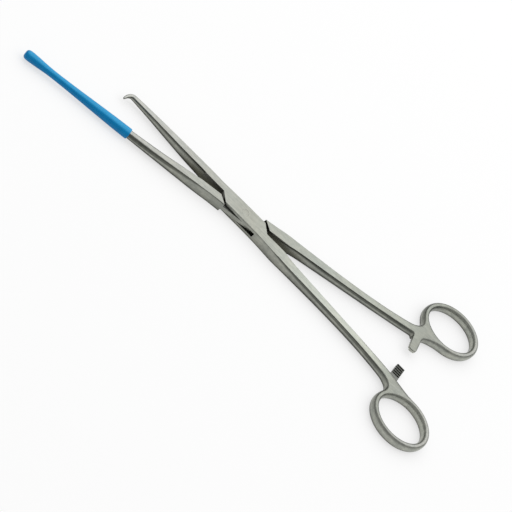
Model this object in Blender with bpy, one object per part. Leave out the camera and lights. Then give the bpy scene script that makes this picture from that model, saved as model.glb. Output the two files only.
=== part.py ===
"""Uterine tenaculum: two steel halves crossing in a box lock, one jaw a hook, the other a sleeved probe.

Frame: metres, +X towards the finger rings, +Z up, origin on the pivot axis at the underside of the lock.
The hook half stays put. The probe half hangs on an empty that stands on the pivot axis.
Both halves are drawn in the closed instrument, the probe half mirrored in Y, and then opened.
"""
import math
from collections import namedtuple

import bmesh
import bpy
from mathutils import Matrix, Vector

# Box lock
LOCK_THICKNESS = 0.0066
LOCK_HALF_WIDTH = 0.0047
LOCK_HALF_LENGTH = 0.0165
LOCK_TAPER = 0.0004
LOCK_END_SHARE = 0.7
GRINDING = 0.0010
GRIND_REACH = 0.0450
SHOULDER_REACH = 0.0112
SHOULDER_ANGLE = math.radians(43.0)
SLOT_HEIGHT = 0.0030
SLOT_RADIUS = 0.0117
SPLIT_GAP = 0.0003
LOCK_CLEARANCE = 0.0003
PIN_DIAMETER = 0.0040
PIN_CLEARANCE = 0.0003
PIN_CHAMFER = 0.0002
REST_OPENING = math.radians(10.4)

# Shanks, the same on both halves
SHANK_START = 0.0280
SHANK_END = 0.1060
SHANK_ROOT_OFFSET = 0.0032
SHANK_END_OFFSET = 0.0080
SHANK_ROOT_SLOPE = 0.045
SHANK_END_SLOPE = 0.130

# Finger rings, the same on both halves
RING_CENTRE_X = 0.1275
RING_CENTRE_Y = 0.0237
RING_HALF_LENGTH = 0.0164
RING_HALF_WIDTH = 0.0130
RING_TILT = math.radians(1.4)
RING_BAND = 0.0037
RING_HEIGHT = 0.0064
RING_STATIONS = 18
WEB_MIDDLE = math.radians(124.0)
WEB_HALF_SPAN = math.radians(24.0)
WEB_CORNER = 0.62

# Hook jaw
JAW_START = 0.0260
HOOK_START = 0.0799
HOOK_OFFSET = 0.0044
HOOK_ROOT_WIDTH = 0.0028
HOOK_TIP_WIDTH = 0.0010
HOOK_FLATNESS = 0.95
HOOK_ROOT_CORNER = 0.76
HOOK_REACH = 0.0037
HOOK_DROP = 0.0052
HOOK_STATIONS = 6

# Probe jaw and its sleeve
PROBE_TIP = 0.1363
PROBE_TIP_OFFSET = 0.0019
SLEEVE_LENGTH = 0.0652
SLEEVE_MOUTH_OFFSET = 0.0031
SLEEVE_MOUTH_RADIUS = 0.0030
SLEEVE_NECK_RADIUS = 0.0020
SLEEVE_NECK_AT = 0.0170
SLEEVE_BULB_RADIUS = 0.0027
SLEEVE_BULB_AT = 0.0030
SLEEVE_WALL = 0.0004
SLEEVE_CLEARANCE = 0.0003
SLEEVE_SIDES = 24

# Ratchet
RATCHET_START = 0.1096
RATCHET_WIDTH = 0.0048
RATCHET_HALF_OVERLAP = 0.0042
RATCHET_ROOT = 0.0095
RATCHET_THICKNESS = 0.0023
RATCHET_CREST_GAP = 0.0003
RATCHET_RELIEF = 0.0052
UPPER_BAR_CORNER = 0.78
TOOTH_PITCH = 0.0015
TOOTH_DEPTH = 0.0007
TOOTH_LEAD = 0.0012
TOOTH_COUNT = 5

MID = LOCK_THICKNESS / 2
CUT_MARGIN = 0.0030
EXIT_SWEEP = math.radians(60.0)
WALL_STEPS = 8
ROUND_SIDES = 32

# A section's corner share: 1 is a square corner, ROUND_CORNER a round bar
SQUARE_CORNER = 0.93
ROUND_CORNER = math.tan(math.pi / 8)
RING_CORNER = 0.52
CRISP_FROM = 0.62
SHOULDERS = (0, 3, 5, 8)

# Share along the shank, width, height, corner, and how much of each side stays upright
SHANK_PROFILE = (
    (0.00, 0.0058, 0.0064, 0.90, 0.90),
    (0.15, 0.0053, 0.0058, 0.86, 0.62),
    (0.35, 0.0048, 0.0052, 0.83, 0.46),
    (0.60, 0.0043, 0.0048, 0.80, 0.42),
    (0.80, 0.0046, 0.0049, 0.77, 0.42),
    (1.00, 0.0055, 0.0052, 0.70, 0.50),
)

# Share between the shank's end and the ring, width, height, heading
WEB_PROFILE = (
    (0.25, 0.0059, 0.0054, math.radians(-12.0)),
    (0.62, 0.0074, 0.0058, math.radians(-24.0)),
)

# The upper ratchet bar, out from the web: place in Y, width along the shank, height
UPPER_BAR_PROFILE = (
    (-0.0036, 0.0050, 0.0046),
    (0.0006, 0.0048, 0.0046),
    (0.0030, 0.0047, 0.0046),
    (0.0043, 0.0038, 0.0040),
)

# Share along the jaw, offset, width, height, corner, and how much of each side stays upright
HOOK_JAW_PROFILE = (
    (0.00, 0.00250, 0.0042, 0.0067, 0.91, 0.91),
    (0.18, 0.00255, 0.0044, 0.0063, 0.88, 0.62),
    (0.45, 0.00325, 0.0042, 0.0050, 0.86, 0.44),
    (0.72, 0.00400, 0.0033, 0.0039, 0.82, 0.42),
)
PROBE_JAW_PROFILE = (
    (0.00, 0.00240, 0.0042, 0.0067, 0.91, 0.91),
    (0.22, 0.00250, 0.0046, 0.0063, 0.86, 0.62),
    (0.55, 0.00304, 0.0046, 0.0053, 0.74, 0.46),
    (0.80, 0.00310, 0.0047, 0.0050, 0.56, 0.44),
)

# The probe core's rows, as shares of the sleeve's length
CORE_SHARES = (0.0, 0.03, 0.08, 0.16, 0.26, 0.38, 0.52, 0.68, 0.84, 1.0)
CORE_TIP_MARK = 0.4

# Sleeve: marks round the bulb's end, as shares of where the bulb is widest, and rows along its walls
BULB_MARKS = (0.04, 0.15, 0.4, 1.0)
BULB_INNER_MARK = 0.5
BULB_ROUNDNESS = 2.6
SLEEVE_ROWS = 14

Row = namedtuple("Row", "x y width height corner heading flank", defaults=(None,))


def clear_scene():
    for old in list(bpy.data.objects):
        bpy.data.objects.remove(old, do_unlink=True)


def mix(start, end, share):
    return start + (end - start) * share


def smooth_step(share):
    share = min(max(share, 0.0), 1.0)
    return share * share * (3.0 - 2.0 * share)


def hermite(start, end, start_slope, end_slope, length, share):
    """Height of a cubic that leaves and arrives with the given slopes."""
    s, s2, s3 = share, share**2, share**3
    return (
        start * (2 * s3 - 3 * s2 + 1)
        + end * (3 * s2 - 2 * s3)
        + start_slope * length * (s3 - 2 * s2 + s)
        + end_slope * length * (s3 - s2)
    )


def edge_row(x, low, high, height, corner):
    """A row square to X between two edges."""
    return Row(x, (low + high) / 2, high - low, height, corner, 0.0)


def shank_rows():
    """Rows of the shank, which runs on the -Y side and bows out to its ring."""
    rows = []
    length = SHANK_END - SHANK_START
    offsets = (SHANK_ROOT_OFFSET, SHANK_END_OFFSET)
    slopes = (SHANK_ROOT_SLOPE, SHANK_END_SLOPE)
    for share, width, height, corner, flank in SHANK_PROFILE:
        x = mix(SHANK_START, SHANK_END, share)
        y = -hermite(*offsets, *slopes, length, share)
        heading = -math.atan(mix(*slopes, share))
        rows.append(Row(x, y, width, height, corner, heading, flank))
    return rows


def jaw_rows(profile, end):
    """Rows of a jaw on the +Y side, from its far end in to the lock."""
    rows = []
    for share, offset, width, height, corner, flank in reversed(profile):
        rows.append(Row(-mix(JAW_START, end, share), offset, width, height, corner, 0.0, flank))
    return rows


def lock_rows():
    """Full-width rows of the lock, with something left to grind off its faces."""
    height = LOCK_THICKNESS + GRINDING
    wide = LOCK_HALF_WIDTH
    narrow = wide - LOCK_TAPER
    bridge = (JAW_START + LOCK_HALF_LENGTH) / 2
    return [
        edge_row(-bridge, -LOCK_END_SHARE * wide, narrow, height, SQUARE_CORNER),
        edge_row(-LOCK_HALF_LENGTH, -wide, narrow, height, SQUARE_CORNER),
        edge_row(-LOCK_HALF_LENGTH / 2, -wide, wide, height, SQUARE_CORNER),
        edge_row(LOCK_HALF_LENGTH / 2, -wide, wide, height, SQUARE_CORNER),
        edge_row(LOCK_HALF_LENGTH, -wide - LOCK_TAPER, wide, height, SQUARE_CORNER),
        edge_row(bridge, -wide - 2 * LOCK_TAPER, LOCK_END_SHARE * wide, height, SQUARE_CORNER),
    ]


def hook_rows():
    """Rows of the claw: a quarter ellipse that tapers to a point, tip first."""
    rows = []
    for step in range(HOOK_STATIONS, -1, -1):
        share = step / HOOK_STATIONS
        turn = share * math.pi / 2
        x = -HOOK_START - HOOK_REACH * math.sin(turn)
        y = HOOK_OFFSET - HOOK_DROP * (1 - math.cos(turn))
        heading = math.atan2(HOOK_DROP * math.sin(turn), HOOK_REACH * math.cos(turn))
        width = mix(HOOK_ROOT_WIDTH, HOOK_TIP_WIDTH, share**1.5)
        corner = mix(HOOK_ROOT_CORNER, ROUND_CORNER, share)
        rows.append(Row(x, y, width, width * HOOK_FLATNESS, corner, heading, ROUND_CORNER))
    return rows


def sleeve_radius(from_tip):
    """Outer radius of the sleeve: round end, bulb, neck, then widening to the mouth."""
    if from_tip < SLEEVE_BULB_AT:
        left = 1 - from_tip / SLEEVE_BULB_AT
        return SLEEVE_BULB_RADIUS * (1 - left**BULB_ROUNDNESS) ** (1 / BULB_ROUNDNESS)
    if from_tip < SLEEVE_NECK_AT:
        share = (from_tip - SLEEVE_BULB_AT) / (SLEEVE_NECK_AT - SLEEVE_BULB_AT)
        return mix(SLEEVE_BULB_RADIUS, SLEEVE_NECK_RADIUS, smooth_step(share))
    share = (from_tip - SLEEVE_NECK_AT) / (SLEEVE_LENGTH - SLEEVE_NECK_AT)
    return mix(SLEEVE_NECK_RADIUS, SLEEVE_MOUTH_RADIUS, smooth_step(share))


def sleeve_axis_offset(from_tip):
    return mix(PROBE_TIP_OFFSET, SLEEVE_MOUTH_OFFSET, from_tip / SLEEVE_LENGTH)


def probe_core_rows():
    """Rows of the steel core in the sleeve, tip first, one clearance inside its wall."""
    inset = SLEEVE_WALL + SLEEVE_CLEARANCE
    tip = SLEEVE_WALL + 2 * SLEEVE_CLEARANCE
    blunt = SLEEVE_BULB_AT * CORE_TIP_MARK
    rows = []
    for share in CORE_SHARES:
        from_tip = mix(tip, SLEEVE_LENGTH, share)
        diameter = 2 * (sleeve_radius(max(from_tip, blunt)) - inset)
        y = sleeve_axis_offset(from_tip)
        rows.append(Row(-PROBE_TIP + from_tip, y, diameter, diameter, ROUND_CORNER, 0.0))
    return rows


def strip_section(row):
    """Ten points of a strip's section, down its left side and up its right one."""
    a = row.width / 2
    b = row.height / 2
    ka = a * row.corner
    kb = b * (row.corner if row.flank is None else row.flank)
    left = [(ka, b), (a, kb), (a, -kb), (ka, -b)]
    right = [(-ka, -b), (-a, -kb), (-a, kb), (-ka, b)]
    return left + [(0.0, -b)] + right + [(0.0, b)]


def section_vertices(mesh, row, section, side):
    """Place a section square to its row's heading; side -1 mirrors it in Y."""
    across = Vector((-math.sin(row.heading), math.cos(row.heading)))
    placed = []
    for u, v in section:
        x = row.x + across.x * u
        y = row.y + across.y * u
        placed.append(mesh.verts.new((x, y * side, MID + v)))
    return placed


def bridge_sections(mesh, first, second, open_sides=0):
    """Join two sections with faces, leaving open this many from the first on."""
    count = len(first)
    for index in range(open_sides, count):
        after = (index + 1) % count
        mesh.faces.new((first[index], first[after], second[after], second[index]))


def crease_shoulders(mesh, rows, strip):
    """Keep the strip's four shoulder lines crisp where its corners are square."""
    crease = mesh.edges.layers.float.new("crease_edge")
    for index in range(len(rows) - 1):
        squarer = min(rows[index].corner, rows[index + 1].corner) - CRISP_FROM
        for at in SHOULDERS:
            edge = mesh.edges.get((strip[index][at], strip[index + 1][at]))
            edge[crease] = max(0.0, squarer / (1 - CRISP_FROM))


def ring_row(angle):
    """One row of the ring band, its left side outward."""
    along = Vector((RING_HALF_LENGTH * math.cos(angle), RING_HALF_WIDTH * math.sin(angle)))
    outward = Vector((math.cos(angle) / RING_HALF_LENGTH, math.sin(angle) / RING_HALF_WIDTH))
    turn = Matrix.Rotation(RING_TILT, 2)
    along = turn @ along
    outward = turn @ outward
    heading = math.atan2(-outward.x, outward.y)
    x = RING_CENTRE_X + along.x
    y = -RING_CENTRE_Y + along.y
    return Row(x, y, RING_BAND, RING_HEIGHT, RING_CORNER, heading)


def ring_section(row):
    a = row.width / 2
    b = row.height / 2
    ka = a * row.corner
    kb = b * row.corner
    return [(ka, b), (a, kb), (a, -kb), (ka, -b), (-ka, -b), (-a, -kb), (-a, kb), (-ka, b)]


def ring_angles():
    """Web's two edges and middle first, then the free arc, evenly spaced."""
    free_arc = 2 * math.pi - 2 * WEB_HALF_SPAN
    start = WEB_MIDDLE + WEB_HALF_SPAN
    angles = [WEB_MIDDLE - WEB_HALF_SPAN, WEB_MIDDLE]
    for step in range(RING_STATIONS):
        angles.append(start + free_arc * step / RING_STATIONS)
    return angles


def web_rows(shank_end):
    """Rows of the web, between the shank's end and the ring's outer side."""
    middle = ring_row(WEB_MIDDLE)
    outer_x = middle.x - math.sin(middle.heading) * RING_BAND / 2
    outer_y = middle.y + math.cos(middle.heading) * RING_BAND / 2
    rows = []
    for share, width, height, heading in WEB_PROFILE:
        x = mix(shank_end.x, outer_x, share)
        y = mix(shank_end.y, outer_y, share)
        rows.append(Row(x, y, width, height, WEB_CORNER, heading))
    return rows


def bar_loop(mesh, y, width, height, side):
    """Eight points round the upper ratchet bar: four down its near end, four down its far one."""
    middle = RATCHET_START + RATCHET_WIDTH / 2
    loop = []
    for x in (middle - width / 2, middle + width / 2):
        for level in (1.0, UPPER_BAR_CORNER, -UPPER_BAR_CORNER, -1.0):
            loop.append(mesh.verts.new((x, y * side, MID + level * height / 2)))
    return loop


def grow_upper_bar(mesh, near, far, side):
    """Draw the upper ratchet bar out of the web's inner side, between its two rows."""
    ring_order = (0, 1, 2, 3, 7, 6, 5, 4)
    root = near[:4] + far[:4]
    for y, width, height in UPPER_BAR_PROFILE:
        tip = bar_loop(mesh, y, width, height, side)
        bridge_sections(mesh, [root[at] for at in ring_order], [tip[at] for at in ring_order])
        root = tip
    for at in range(3):
        mesh.faces.new((root[at], root[at + 1], root[at + 5], root[at + 4]))


def join_strip_to_ring(mesh, strip_end, ring):
    """Sew the strip's ten points to the ring's outer side at its first three rows."""
    near, middle, far = ring[0], ring[1], ring[2]
    for index in range(3):
        mesh.faces.new((strip_end[index], strip_end[index + 1], near[index + 1], near[index]))
        mesh.faces.new((strip_end[8 - index], strip_end[7 - index], far[index + 1], far[index]))
    mesh.faces.new((strip_end[0], strip_end[9], middle[0], near[0]))
    mesh.faces.new((strip_end[9], strip_end[8], far[0], middle[0]))
    mesh.faces.new((strip_end[3], strip_end[4], middle[3], near[3]))
    mesh.faces.new((strip_end[4], strip_end[5], far[3], middle[3]))


def bridge_ring(mesh, ring):
    """Close the ring's band, leaving its outer side open where the web joins."""
    count = len(ring)
    for index in range(count):
        first, second = ring[index], ring[(index + 1) % count]
        at_web = index < 2
        for side in range(8):
            if at_web and side < 3:
                continue
            after = (side + 1) % 8
            mesh.faces.new((first[side], first[after], second[after], second[side]))


def cap(mesh, section):
    """Close a strip's end with quads: its two sides and the middle."""
    mesh.faces.new((section[0], section[1], section[2], section[3]))
    mesh.faces.new((section[0], section[3], section[4], section[9]))
    mesh.faces.new((section[9], section[4], section[5], section[8]))
    mesh.faces.new((section[8], section[5], section[6], section[7]))


def forging(name, jaw, side, upper_bar):
    """One half's body: jaw, lock, shank, web and ring as a single smooth cage."""
    mesh = bmesh.new()
    shank = shank_rows()
    rows = jaw + lock_rows() + shank + web_rows(shank[-1])
    strip = [section_vertices(mesh, row, strip_section(row), side) for row in rows]
    for first, second in zip(strip, strip[1:]):
        at_bar = upper_bar and second is strip[-1]
        bridge_sections(mesh, first, second, open_sides=3 if at_bar else 0)
    if upper_bar:
        grow_upper_bar(mesh, strip[-2], strip[-1], side)
    cap(mesh, strip[0])
    crease_shoulders(mesh, rows, strip)
    ring = []
    for angle in ring_angles():
        row = ring_row(angle)
        ring.append(section_vertices(mesh, row, ring_section(row), side))
    bridge_ring(mesh, ring)
    join_strip_to_ring(mesh, strip[-1], ring)
    body = new_object(name, mesh)
    smooth = body.modifiers.new("Smooth", "SUBSURF")
    smooth.levels = 1
    smooth.render_levels = 1
    return body


def new_object(name, mesh):
    """Turn a bmesh into an object with its faces pointing out."""
    bmesh.ops.recalc_face_normals(mesh, faces=mesh.faces)
    data = bpy.data.meshes.new(name)
    mesh.to_mesh(data)
    mesh.free()
    thing = bpy.data.objects.new(name, data)
    bpy.context.collection.objects.link(thing)
    return thing


def prism(name, outline, low, high, side=1):
    """An upright prism over an outline in plan."""
    mesh = bmesh.new()
    base = [mesh.verts.new((x, y * side, low)) for x, y in outline]
    floor = mesh.faces.new(base)
    grown = bmesh.ops.extrude_face_region(mesh, geom=[floor])
    raised = [item for item in grown["geom"] if isinstance(item, bmesh.types.BMVert)]
    bmesh.ops.translate(mesh, vec=(0, 0, high - low), verts=raised)
    return new_object(name, mesh)


def cylinder(name, radius, low, high):
    outline = []
    for step in range(ROUND_SIDES):
        turn = 2 * math.pi * step / ROUND_SIDES
        outline.append((radius * math.cos(turn), radius * math.sin(turn)))
    return prism(name, outline, low, high)


def arc(radius, start, end, steps):
    """Points of an arc about the pivot."""
    points = []
    for step in range(steps + 1):
        turn = mix(start, end, step / steps)
        points.append((radius * math.cos(turn), radius * math.sin(turn)))
    return points


def combine(target, tool, operation):
    """Cut, join or intersect a body with a tool, then drop the tool."""
    change = target.modifiers.new(operation.title(), "BOOLEAN")
    change.operation = operation
    change.solver = "EXACT"
    change.object = tool
    bake(target)
    bpy.data.objects.remove(tool, do_unlink=True)


def bake(thing):
    """Replace an object's mesh by the one its modifiers give."""
    view = bpy.context.evaluated_depsgraph_get()
    data = bpy.data.meshes.new_from_object(thing.evaluated_get(view), depsgraph=view)
    thing.modifiers.clear()
    thing.data = data


def shoulder_point(reach, y):
    """Where a shoulder line, this far from the pivot, crosses a height in plan."""
    return ((reach - y * math.sin(SHOULDER_ANGLE)) / math.cos(SHOULDER_ANGLE), y)


def opposite(points):
    """The same points turned half a turn about the pivot."""
    return [(-x, -y) for x, y in points]


def grind_faces(body):
    """Grind the lock's upper and lower faces flat at their finished thickness."""
    far = GRIND_REACH
    wide = 3 * LOCK_HALF_WIDTH
    top = LOCK_THICKNESS + CUT_MARGIN
    plate = [(-far, -wide), (far, -wide), (far, wide), (-far, wide)]
    combine(body, prism("upper_grind", plate, LOCK_THICKNESS, top), "DIFFERENCE")
    combine(body, prism("lower_grind", plate, -CUT_MARGIN, 0.0), "DIFFERENCE")


def cut_cheeks(body):
    """Cut the box half's cheeks to their slanting ends, and free its jaw and shank."""
    wide = 2 * LOCK_HALF_WIDTH
    free_end = SHANK_START + CUT_MARGIN
    gap = SPLIT_GAP / 2
    outline = [
        shoulder_point(SHOULDER_REACH, -gap),
        shoulder_point(SHOULDER_REACH, wide),
        (free_end + wide, wide),
        (free_end, -gap),
    ]
    top = LOCK_THICKNESS + CUT_MARGIN
    for points in (outline, opposite(outline)):
        combine(body, prism("cheek_cut", points, -CUT_MARGIN, top), "DIFFERENCE")


def exit_outline(radius, gap, reach):
    """The tongue's way through the lock: a disc, open to -Y at the jaws and +Y at the rings."""
    level = math.asin(gap / radius)
    wall = arc(radius, -level, -EXIT_SWEEP, WALL_STEPS)
    half = [(reach, 2 * LOCK_HALF_WIDTH), (reach, -gap)] + wall
    return half + opposite(half)


def cut_slot(body):
    """The slot that the other half's tongue passes through."""
    outline = exit_outline(SLOT_RADIUS, SPLIT_GAP / 2, SHANK_START)
    combine(body, prism("slot", outline, MID - SLOT_HEIGHT / 2, MID + SLOT_HEIGHT / 2), "DIFFERENCE")


def cut_bore(body):
    bore = PIN_DIAMETER / 2 + PIN_CLEARANCE
    combine(body, cylinder("bore", bore, -CUT_MARGIN, LOCK_THICKNESS + CUT_MARGIN), "DIFFERENCE")


def cut_tongue(body, side):
    """Thin the tongue between its shoulders, and round its free ends to the slot."""
    reach = SHOULDER_REACH + LOCK_CLEARANCE
    wide = 3 * LOCK_HALF_WIDTH
    line = [shoulder_point(reach, wide), shoulder_point(reach, -wide)]
    band = line + opposite(line)
    tongue = SLOT_HEIGHT - 2 * LOCK_CLEARANCE
    top = LOCK_THICKNESS + CUT_MARGIN
    combine(body, prism("upper_recess", band, MID + tongue / 2, top, -side), "DIFFERENCE")
    combine(body, prism("lower_recess", band, -CUT_MARGIN, MID - tongue / 2, -side), "DIFFERENCE")
    radius = SLOT_RADIUS - LOCK_CLEARANCE
    gap = SPLIT_GAP / 2
    level = math.asin(gap / radius)
    free_end = SHANK_START + CUT_MARGIN
    outline = arc(radius, -level, EXIT_SWEEP, WALL_STEPS)
    outline += [(free_end + wide, wide), (free_end, -gap)]
    for points in (outline, opposite(outline)):
        combine(body, prism("end_cut", points, -CUT_MARGIN, top, side), "DIFFERENCE")


def notch_tool(crest, way, side):
    """The milling tool for the teeth: a wedge for each, so that a tooth's slope faces the tip."""
    mesh = bmesh.new()
    low = RATCHET_START - CUT_MARGIN
    length = RATCHET_WIDTH + 2 * CUT_MARGIN
    outside = crest - way * TOOTH_DEPTH
    for index in range(TOOTH_COUNT):
        start = RATCHET_HALF_OVERLAP - TOOTH_PITCH * (index + 1)
        end = start + TOOTH_LEAD
        profile = [(start, crest), (end, crest + way * TOOTH_DEPTH), (end, outside), (start, outside)]
        face = mesh.faces.new([mesh.verts.new((low, y * side, z)) for y, z in profile])
        grown = bmesh.ops.extrude_face_region(mesh, geom=[face])
        moved = [item for item in grown["geom"] if isinstance(item, bmesh.types.BMVert)]
        bmesh.ops.translate(mesh, vec=(length, 0, 0), verts=moved)
    return new_object("notches", mesh)


def add_lower_bar(body, side):
    """Weld on the lower ratchet bar, its teeth facing up."""
    crest = MID - RATCHET_CREST_GAP / 2
    end = RATCHET_START + RATCHET_WIDTH
    tip = RATCHET_HALF_OVERLAP
    outline = [(RATCHET_START, -RATCHET_ROOT), (end, -RATCHET_ROOT), (end, tip), (RATCHET_START, tip)]
    bar = prism("ratchet_bar", outline, MID - RATCHET_THICKNESS, crest, side)
    combine(bar, notch_tool(crest, -1, side), "DIFFERENCE")
    combine(body, bar, "UNION")


def mill_upper_bar(body, side):
    """Mill off the upper bar's lower half, and its teeth, facing down."""
    crest = MID + RATCHET_CREST_GAP / 2
    low = RATCHET_START - CUT_MARGIN
    end = RATCHET_START + RATCHET_WIDTH + CUT_MARGIN
    tip = RATCHET_HALF_OVERLAP + CUT_MARGIN
    outline = [(low, -RATCHET_RELIEF), (end, -RATCHET_RELIEF), (end, tip), (low, tip)]
    combine(body, prism("relief", outline, -CUT_MARGIN, crest, side), "DIFFERENCE")
    combine(body, notch_tool(crest, 1, side), "DIFFERENCE")


def make_sleeve(name, side):
    """The insulating sleeve: one turned wall, closed at the tip and open at its mouth."""
    steps = range(SLEEVE_ROWS + 1)
    outer = [SLEEVE_BULB_AT * mark for mark in BULB_MARKS]
    outer += [mix(SLEEVE_BULB_AT, SLEEVE_LENGTH, step / SLEEVE_ROWS) for step in steps[1:]]
    inner_start = SLEEVE_WALL + SLEEVE_CLEARANCE
    inner = [mix(SLEEVE_LENGTH, inner_start, step / SLEEVE_ROWS) for step in steps]
    blunt = SLEEVE_BULB_AT * BULB_INNER_MARK
    rings = [(at, sleeve_radius(at)) for at in outer]
    rings += [(at, sleeve_radius(max(at, blunt)) - SLEEVE_WALL) for at in inner]
    mesh = bmesh.new()
    axis_turn = math.atan2(SLEEVE_MOUTH_OFFSET - PROBE_TIP_OFFSET, SLEEVE_LENGTH)
    loops = []
    for at, radius in rings:
        loop = []
        for step in range(SLEEVE_SIDES):
            turn = 2 * math.pi * step / SLEEVE_SIDES
            x = -PROBE_TIP + at - math.sin(axis_turn) * radius * math.cos(turn)
            y = sleeve_axis_offset(at) + math.cos(axis_turn) * radius * math.cos(turn)
            loop.append(mesh.verts.new((x, y * side, MID + radius * math.sin(turn))))
        loops.append(loop)
    for first, second in zip(loops, loops[1:]):
        bridge_sections(mesh, first, second)
    mesh.faces.new(loops[0])
    mesh.faces.new(loops[-1])
    return new_object(name, mesh)


def make_pin(name):
    """The pivot pin, ground flush with the lock's faces."""
    pin = cylinder(name, PIN_DIAMETER / 2, 0.0, LOCK_THICKNESS)
    edge = pin.modifiers.new("Edge", "BEVEL")
    edge.width = PIN_CHAMFER
    edge.limit_method = "ANGLE"
    edge.angle_limit = math.radians(60)
    bake(pin)
    return pin


def surface(name, colour, roughness, metallic):
    """A plain Principled material."""
    material = bpy.data.materials.new(name)
    material.use_nodes = True
    shader = material.node_tree.nodes["Principled BSDF"]
    shader.inputs["Base Color"].default_value = (*colour, 1.0)
    shader.inputs["Roughness"].default_value = roughness
    shader.inputs["Metallic"].default_value = metallic
    material.diffuse_color = (*colour, 1.0)
    return material


def finish(thing, material):
    """Give a piece its material and smooth shading with crisp corners."""
    thing.data.materials.clear()
    thing.data.materials.append(material)
    thing.data.shade_smooth()
    thing.data.set_sharp_from_angle(angle=math.radians(35))


def make_hook_arm():
    """The box half: hook jaw, slotted lock, shank, lower ratchet and ring."""
    jaw = hook_rows() + jaw_rows(HOOK_JAW_PROFILE, HOOK_START)
    arm = forging("hook_arm", jaw, 1, upper_bar=False)
    bake(arm)
    grind_faces(arm)
    cut_cheeks(arm)
    cut_slot(arm)
    cut_bore(arm)
    add_lower_bar(arm, 1)
    finish(arm, surface("hook_steel", (0.62, 0.63, 0.60), 0.32, 1.0))
    return arm


def make_probe_arm():
    """The tongue half, drawn mirrored: probe jaw, thin tongue, shank, upper ratchet and ring."""
    mouth = PROBE_TIP - SLEEVE_LENGTH
    jaw = probe_core_rows() + jaw_rows(PROBE_JAW_PROFILE, mouth)
    arm = forging("probe_arm", jaw, -1, upper_bar=True)
    bake(arm)
    grind_faces(arm)
    cut_tongue(arm, -1)
    cut_bore(arm)
    mill_upper_bar(arm, -1)
    finish(arm, surface("probe_steel", (0.62, 0.63, 0.60), 0.32, 1.0))
    return arm


def main():
    clear_scene()
    make_hook_arm()
    pin = make_pin("pivot_pin")
    finish(pin, surface("pin_steel", (0.60, 0.61, 0.59), 0.35, 1.0))
    pivot = bpy.data.objects.new("lock_pivot", None)
    bpy.context.collection.objects.link(pivot)
    arm = make_probe_arm()
    sleeve = make_sleeve("probe_sleeve", -1)
    finish(sleeve, surface("sleeve_plastic", (0.0, 0.16, 0.42), 0.35, 0.0))
    for piece in (arm, sleeve):
        piece.parent = pivot
    pivot.rotation_euler.z = REST_OPENING


main()
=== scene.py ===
"""Looks of the uterine tenaculum: two satin steel forgings in a box lock, and a blue insulating sleeve.

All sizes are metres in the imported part's own frame: +X towards the finger rings, +Z up, and the pivot
axis through the origin. Both forgings are drawn closed and alike, their jaw on the +Y side and their
shank on the -Y side. The probe half is then mirrored in Y and opened about the pivot.
"""

import logging
import math
from contextlib import contextmanager
from dataclasses import dataclass, field
from enum import Enum, IntEnum
from typing import Callable, ClassVar, Iterable, Iterator, Sequence

import bmesh
import bpy
from mathutils import Matrix, Vector


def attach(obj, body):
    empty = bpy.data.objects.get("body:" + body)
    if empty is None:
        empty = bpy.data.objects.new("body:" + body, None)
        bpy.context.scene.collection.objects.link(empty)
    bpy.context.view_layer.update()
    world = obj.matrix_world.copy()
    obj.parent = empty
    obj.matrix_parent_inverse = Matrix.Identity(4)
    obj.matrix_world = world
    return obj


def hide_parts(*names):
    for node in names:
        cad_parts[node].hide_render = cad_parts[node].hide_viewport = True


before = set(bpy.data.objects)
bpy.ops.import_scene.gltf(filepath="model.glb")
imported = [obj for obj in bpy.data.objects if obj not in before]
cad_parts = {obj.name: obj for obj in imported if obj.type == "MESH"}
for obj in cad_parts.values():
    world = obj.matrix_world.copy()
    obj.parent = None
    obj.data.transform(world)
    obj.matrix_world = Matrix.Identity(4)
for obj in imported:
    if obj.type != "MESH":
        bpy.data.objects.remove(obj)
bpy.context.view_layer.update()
LOG = logging.getLogger("tenaculum")

Colour = tuple[float, float, float]
Point = tuple[float, float, float]
Span = tuple[float, float]
Marks = tuple[float, float, float]
Stop = tuple[float, Colour]
ROUND = math.tan(math.pi / 8)
OPENING = math.radians(10.4)
SHARP_FROM = math.radians(50.0)


class Role(IntEnum):
    """Where a point sits on a bar's section."""

    CROWN = 1
    SHOULDER = 2
    FLANK = 3


class Cut(Enum):
    """What a tool does to the piece it meets."""

    REMOVE = "DIFFERENCE"
    WELD = "UNION"


@dataclass(frozen=True)
class Finishes:
    """The finishes of one half: what is satin, what is milled, and the ratchet's teeth."""

    satin: bpy.types.Material
    milled: bpy.types.Material
    teeth: bpy.types.Material


@dataclass(frozen=True)
class Station:
    """One section of a forged or turned bar.

    Its corner is the share of its top that stays flat, and None makes the section round. Its flank
    is the share of its sides that stays upright, the same as the corner where it is None.
    """

    x: float
    y: float
    width: float
    height: float
    corner: float | None
    heading: float = 0.0
    flank: float | None = None


def mix(start: float, end: float, share: float) -> float:
    """Blend two numbers."""
    return start + (end - start) * share


def smooth_step(share: float) -> float:
    """Ease a share in and out."""
    share = min(max(share, 0.0), 1.0)
    return share * share * (3.0 - 2.0 * share)


def deselect() -> None:
    """Clear the selection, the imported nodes' too."""
    for thing in bpy.context.selected_objects:
        thing.select_set(False)


def take(piece: bpy.types.Object) -> None:
    """Make a piece the only one selected, and the active one.

    Args:
        piece: The object to select.
    """
    deselect()
    piece.select_set(True)
    bpy.context.view_layer.objects.active = piece


@contextmanager
def editing(piece: bpy.types.Object, whole: bool = False) -> Iterator[None]:
    """Open a piece in edit mode, and close it afterwards.

    Args:
        piece: The mesh object to edit.
        whole: Whether all of it starts selected, or nothing.

    Returns:
        Nothing to use: the piece is in edit mode inside the with block.
    """
    take(piece)
    bpy.ops.object.mode_set(mode="EDIT")
    bpy.ops.mesh.select_mode(type="VERT")
    bpy.ops.mesh.select_all(action="SELECT" if whole else "DESELECT")
    yield
    bpy.ops.object.mode_set(mode="OBJECT")


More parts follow.
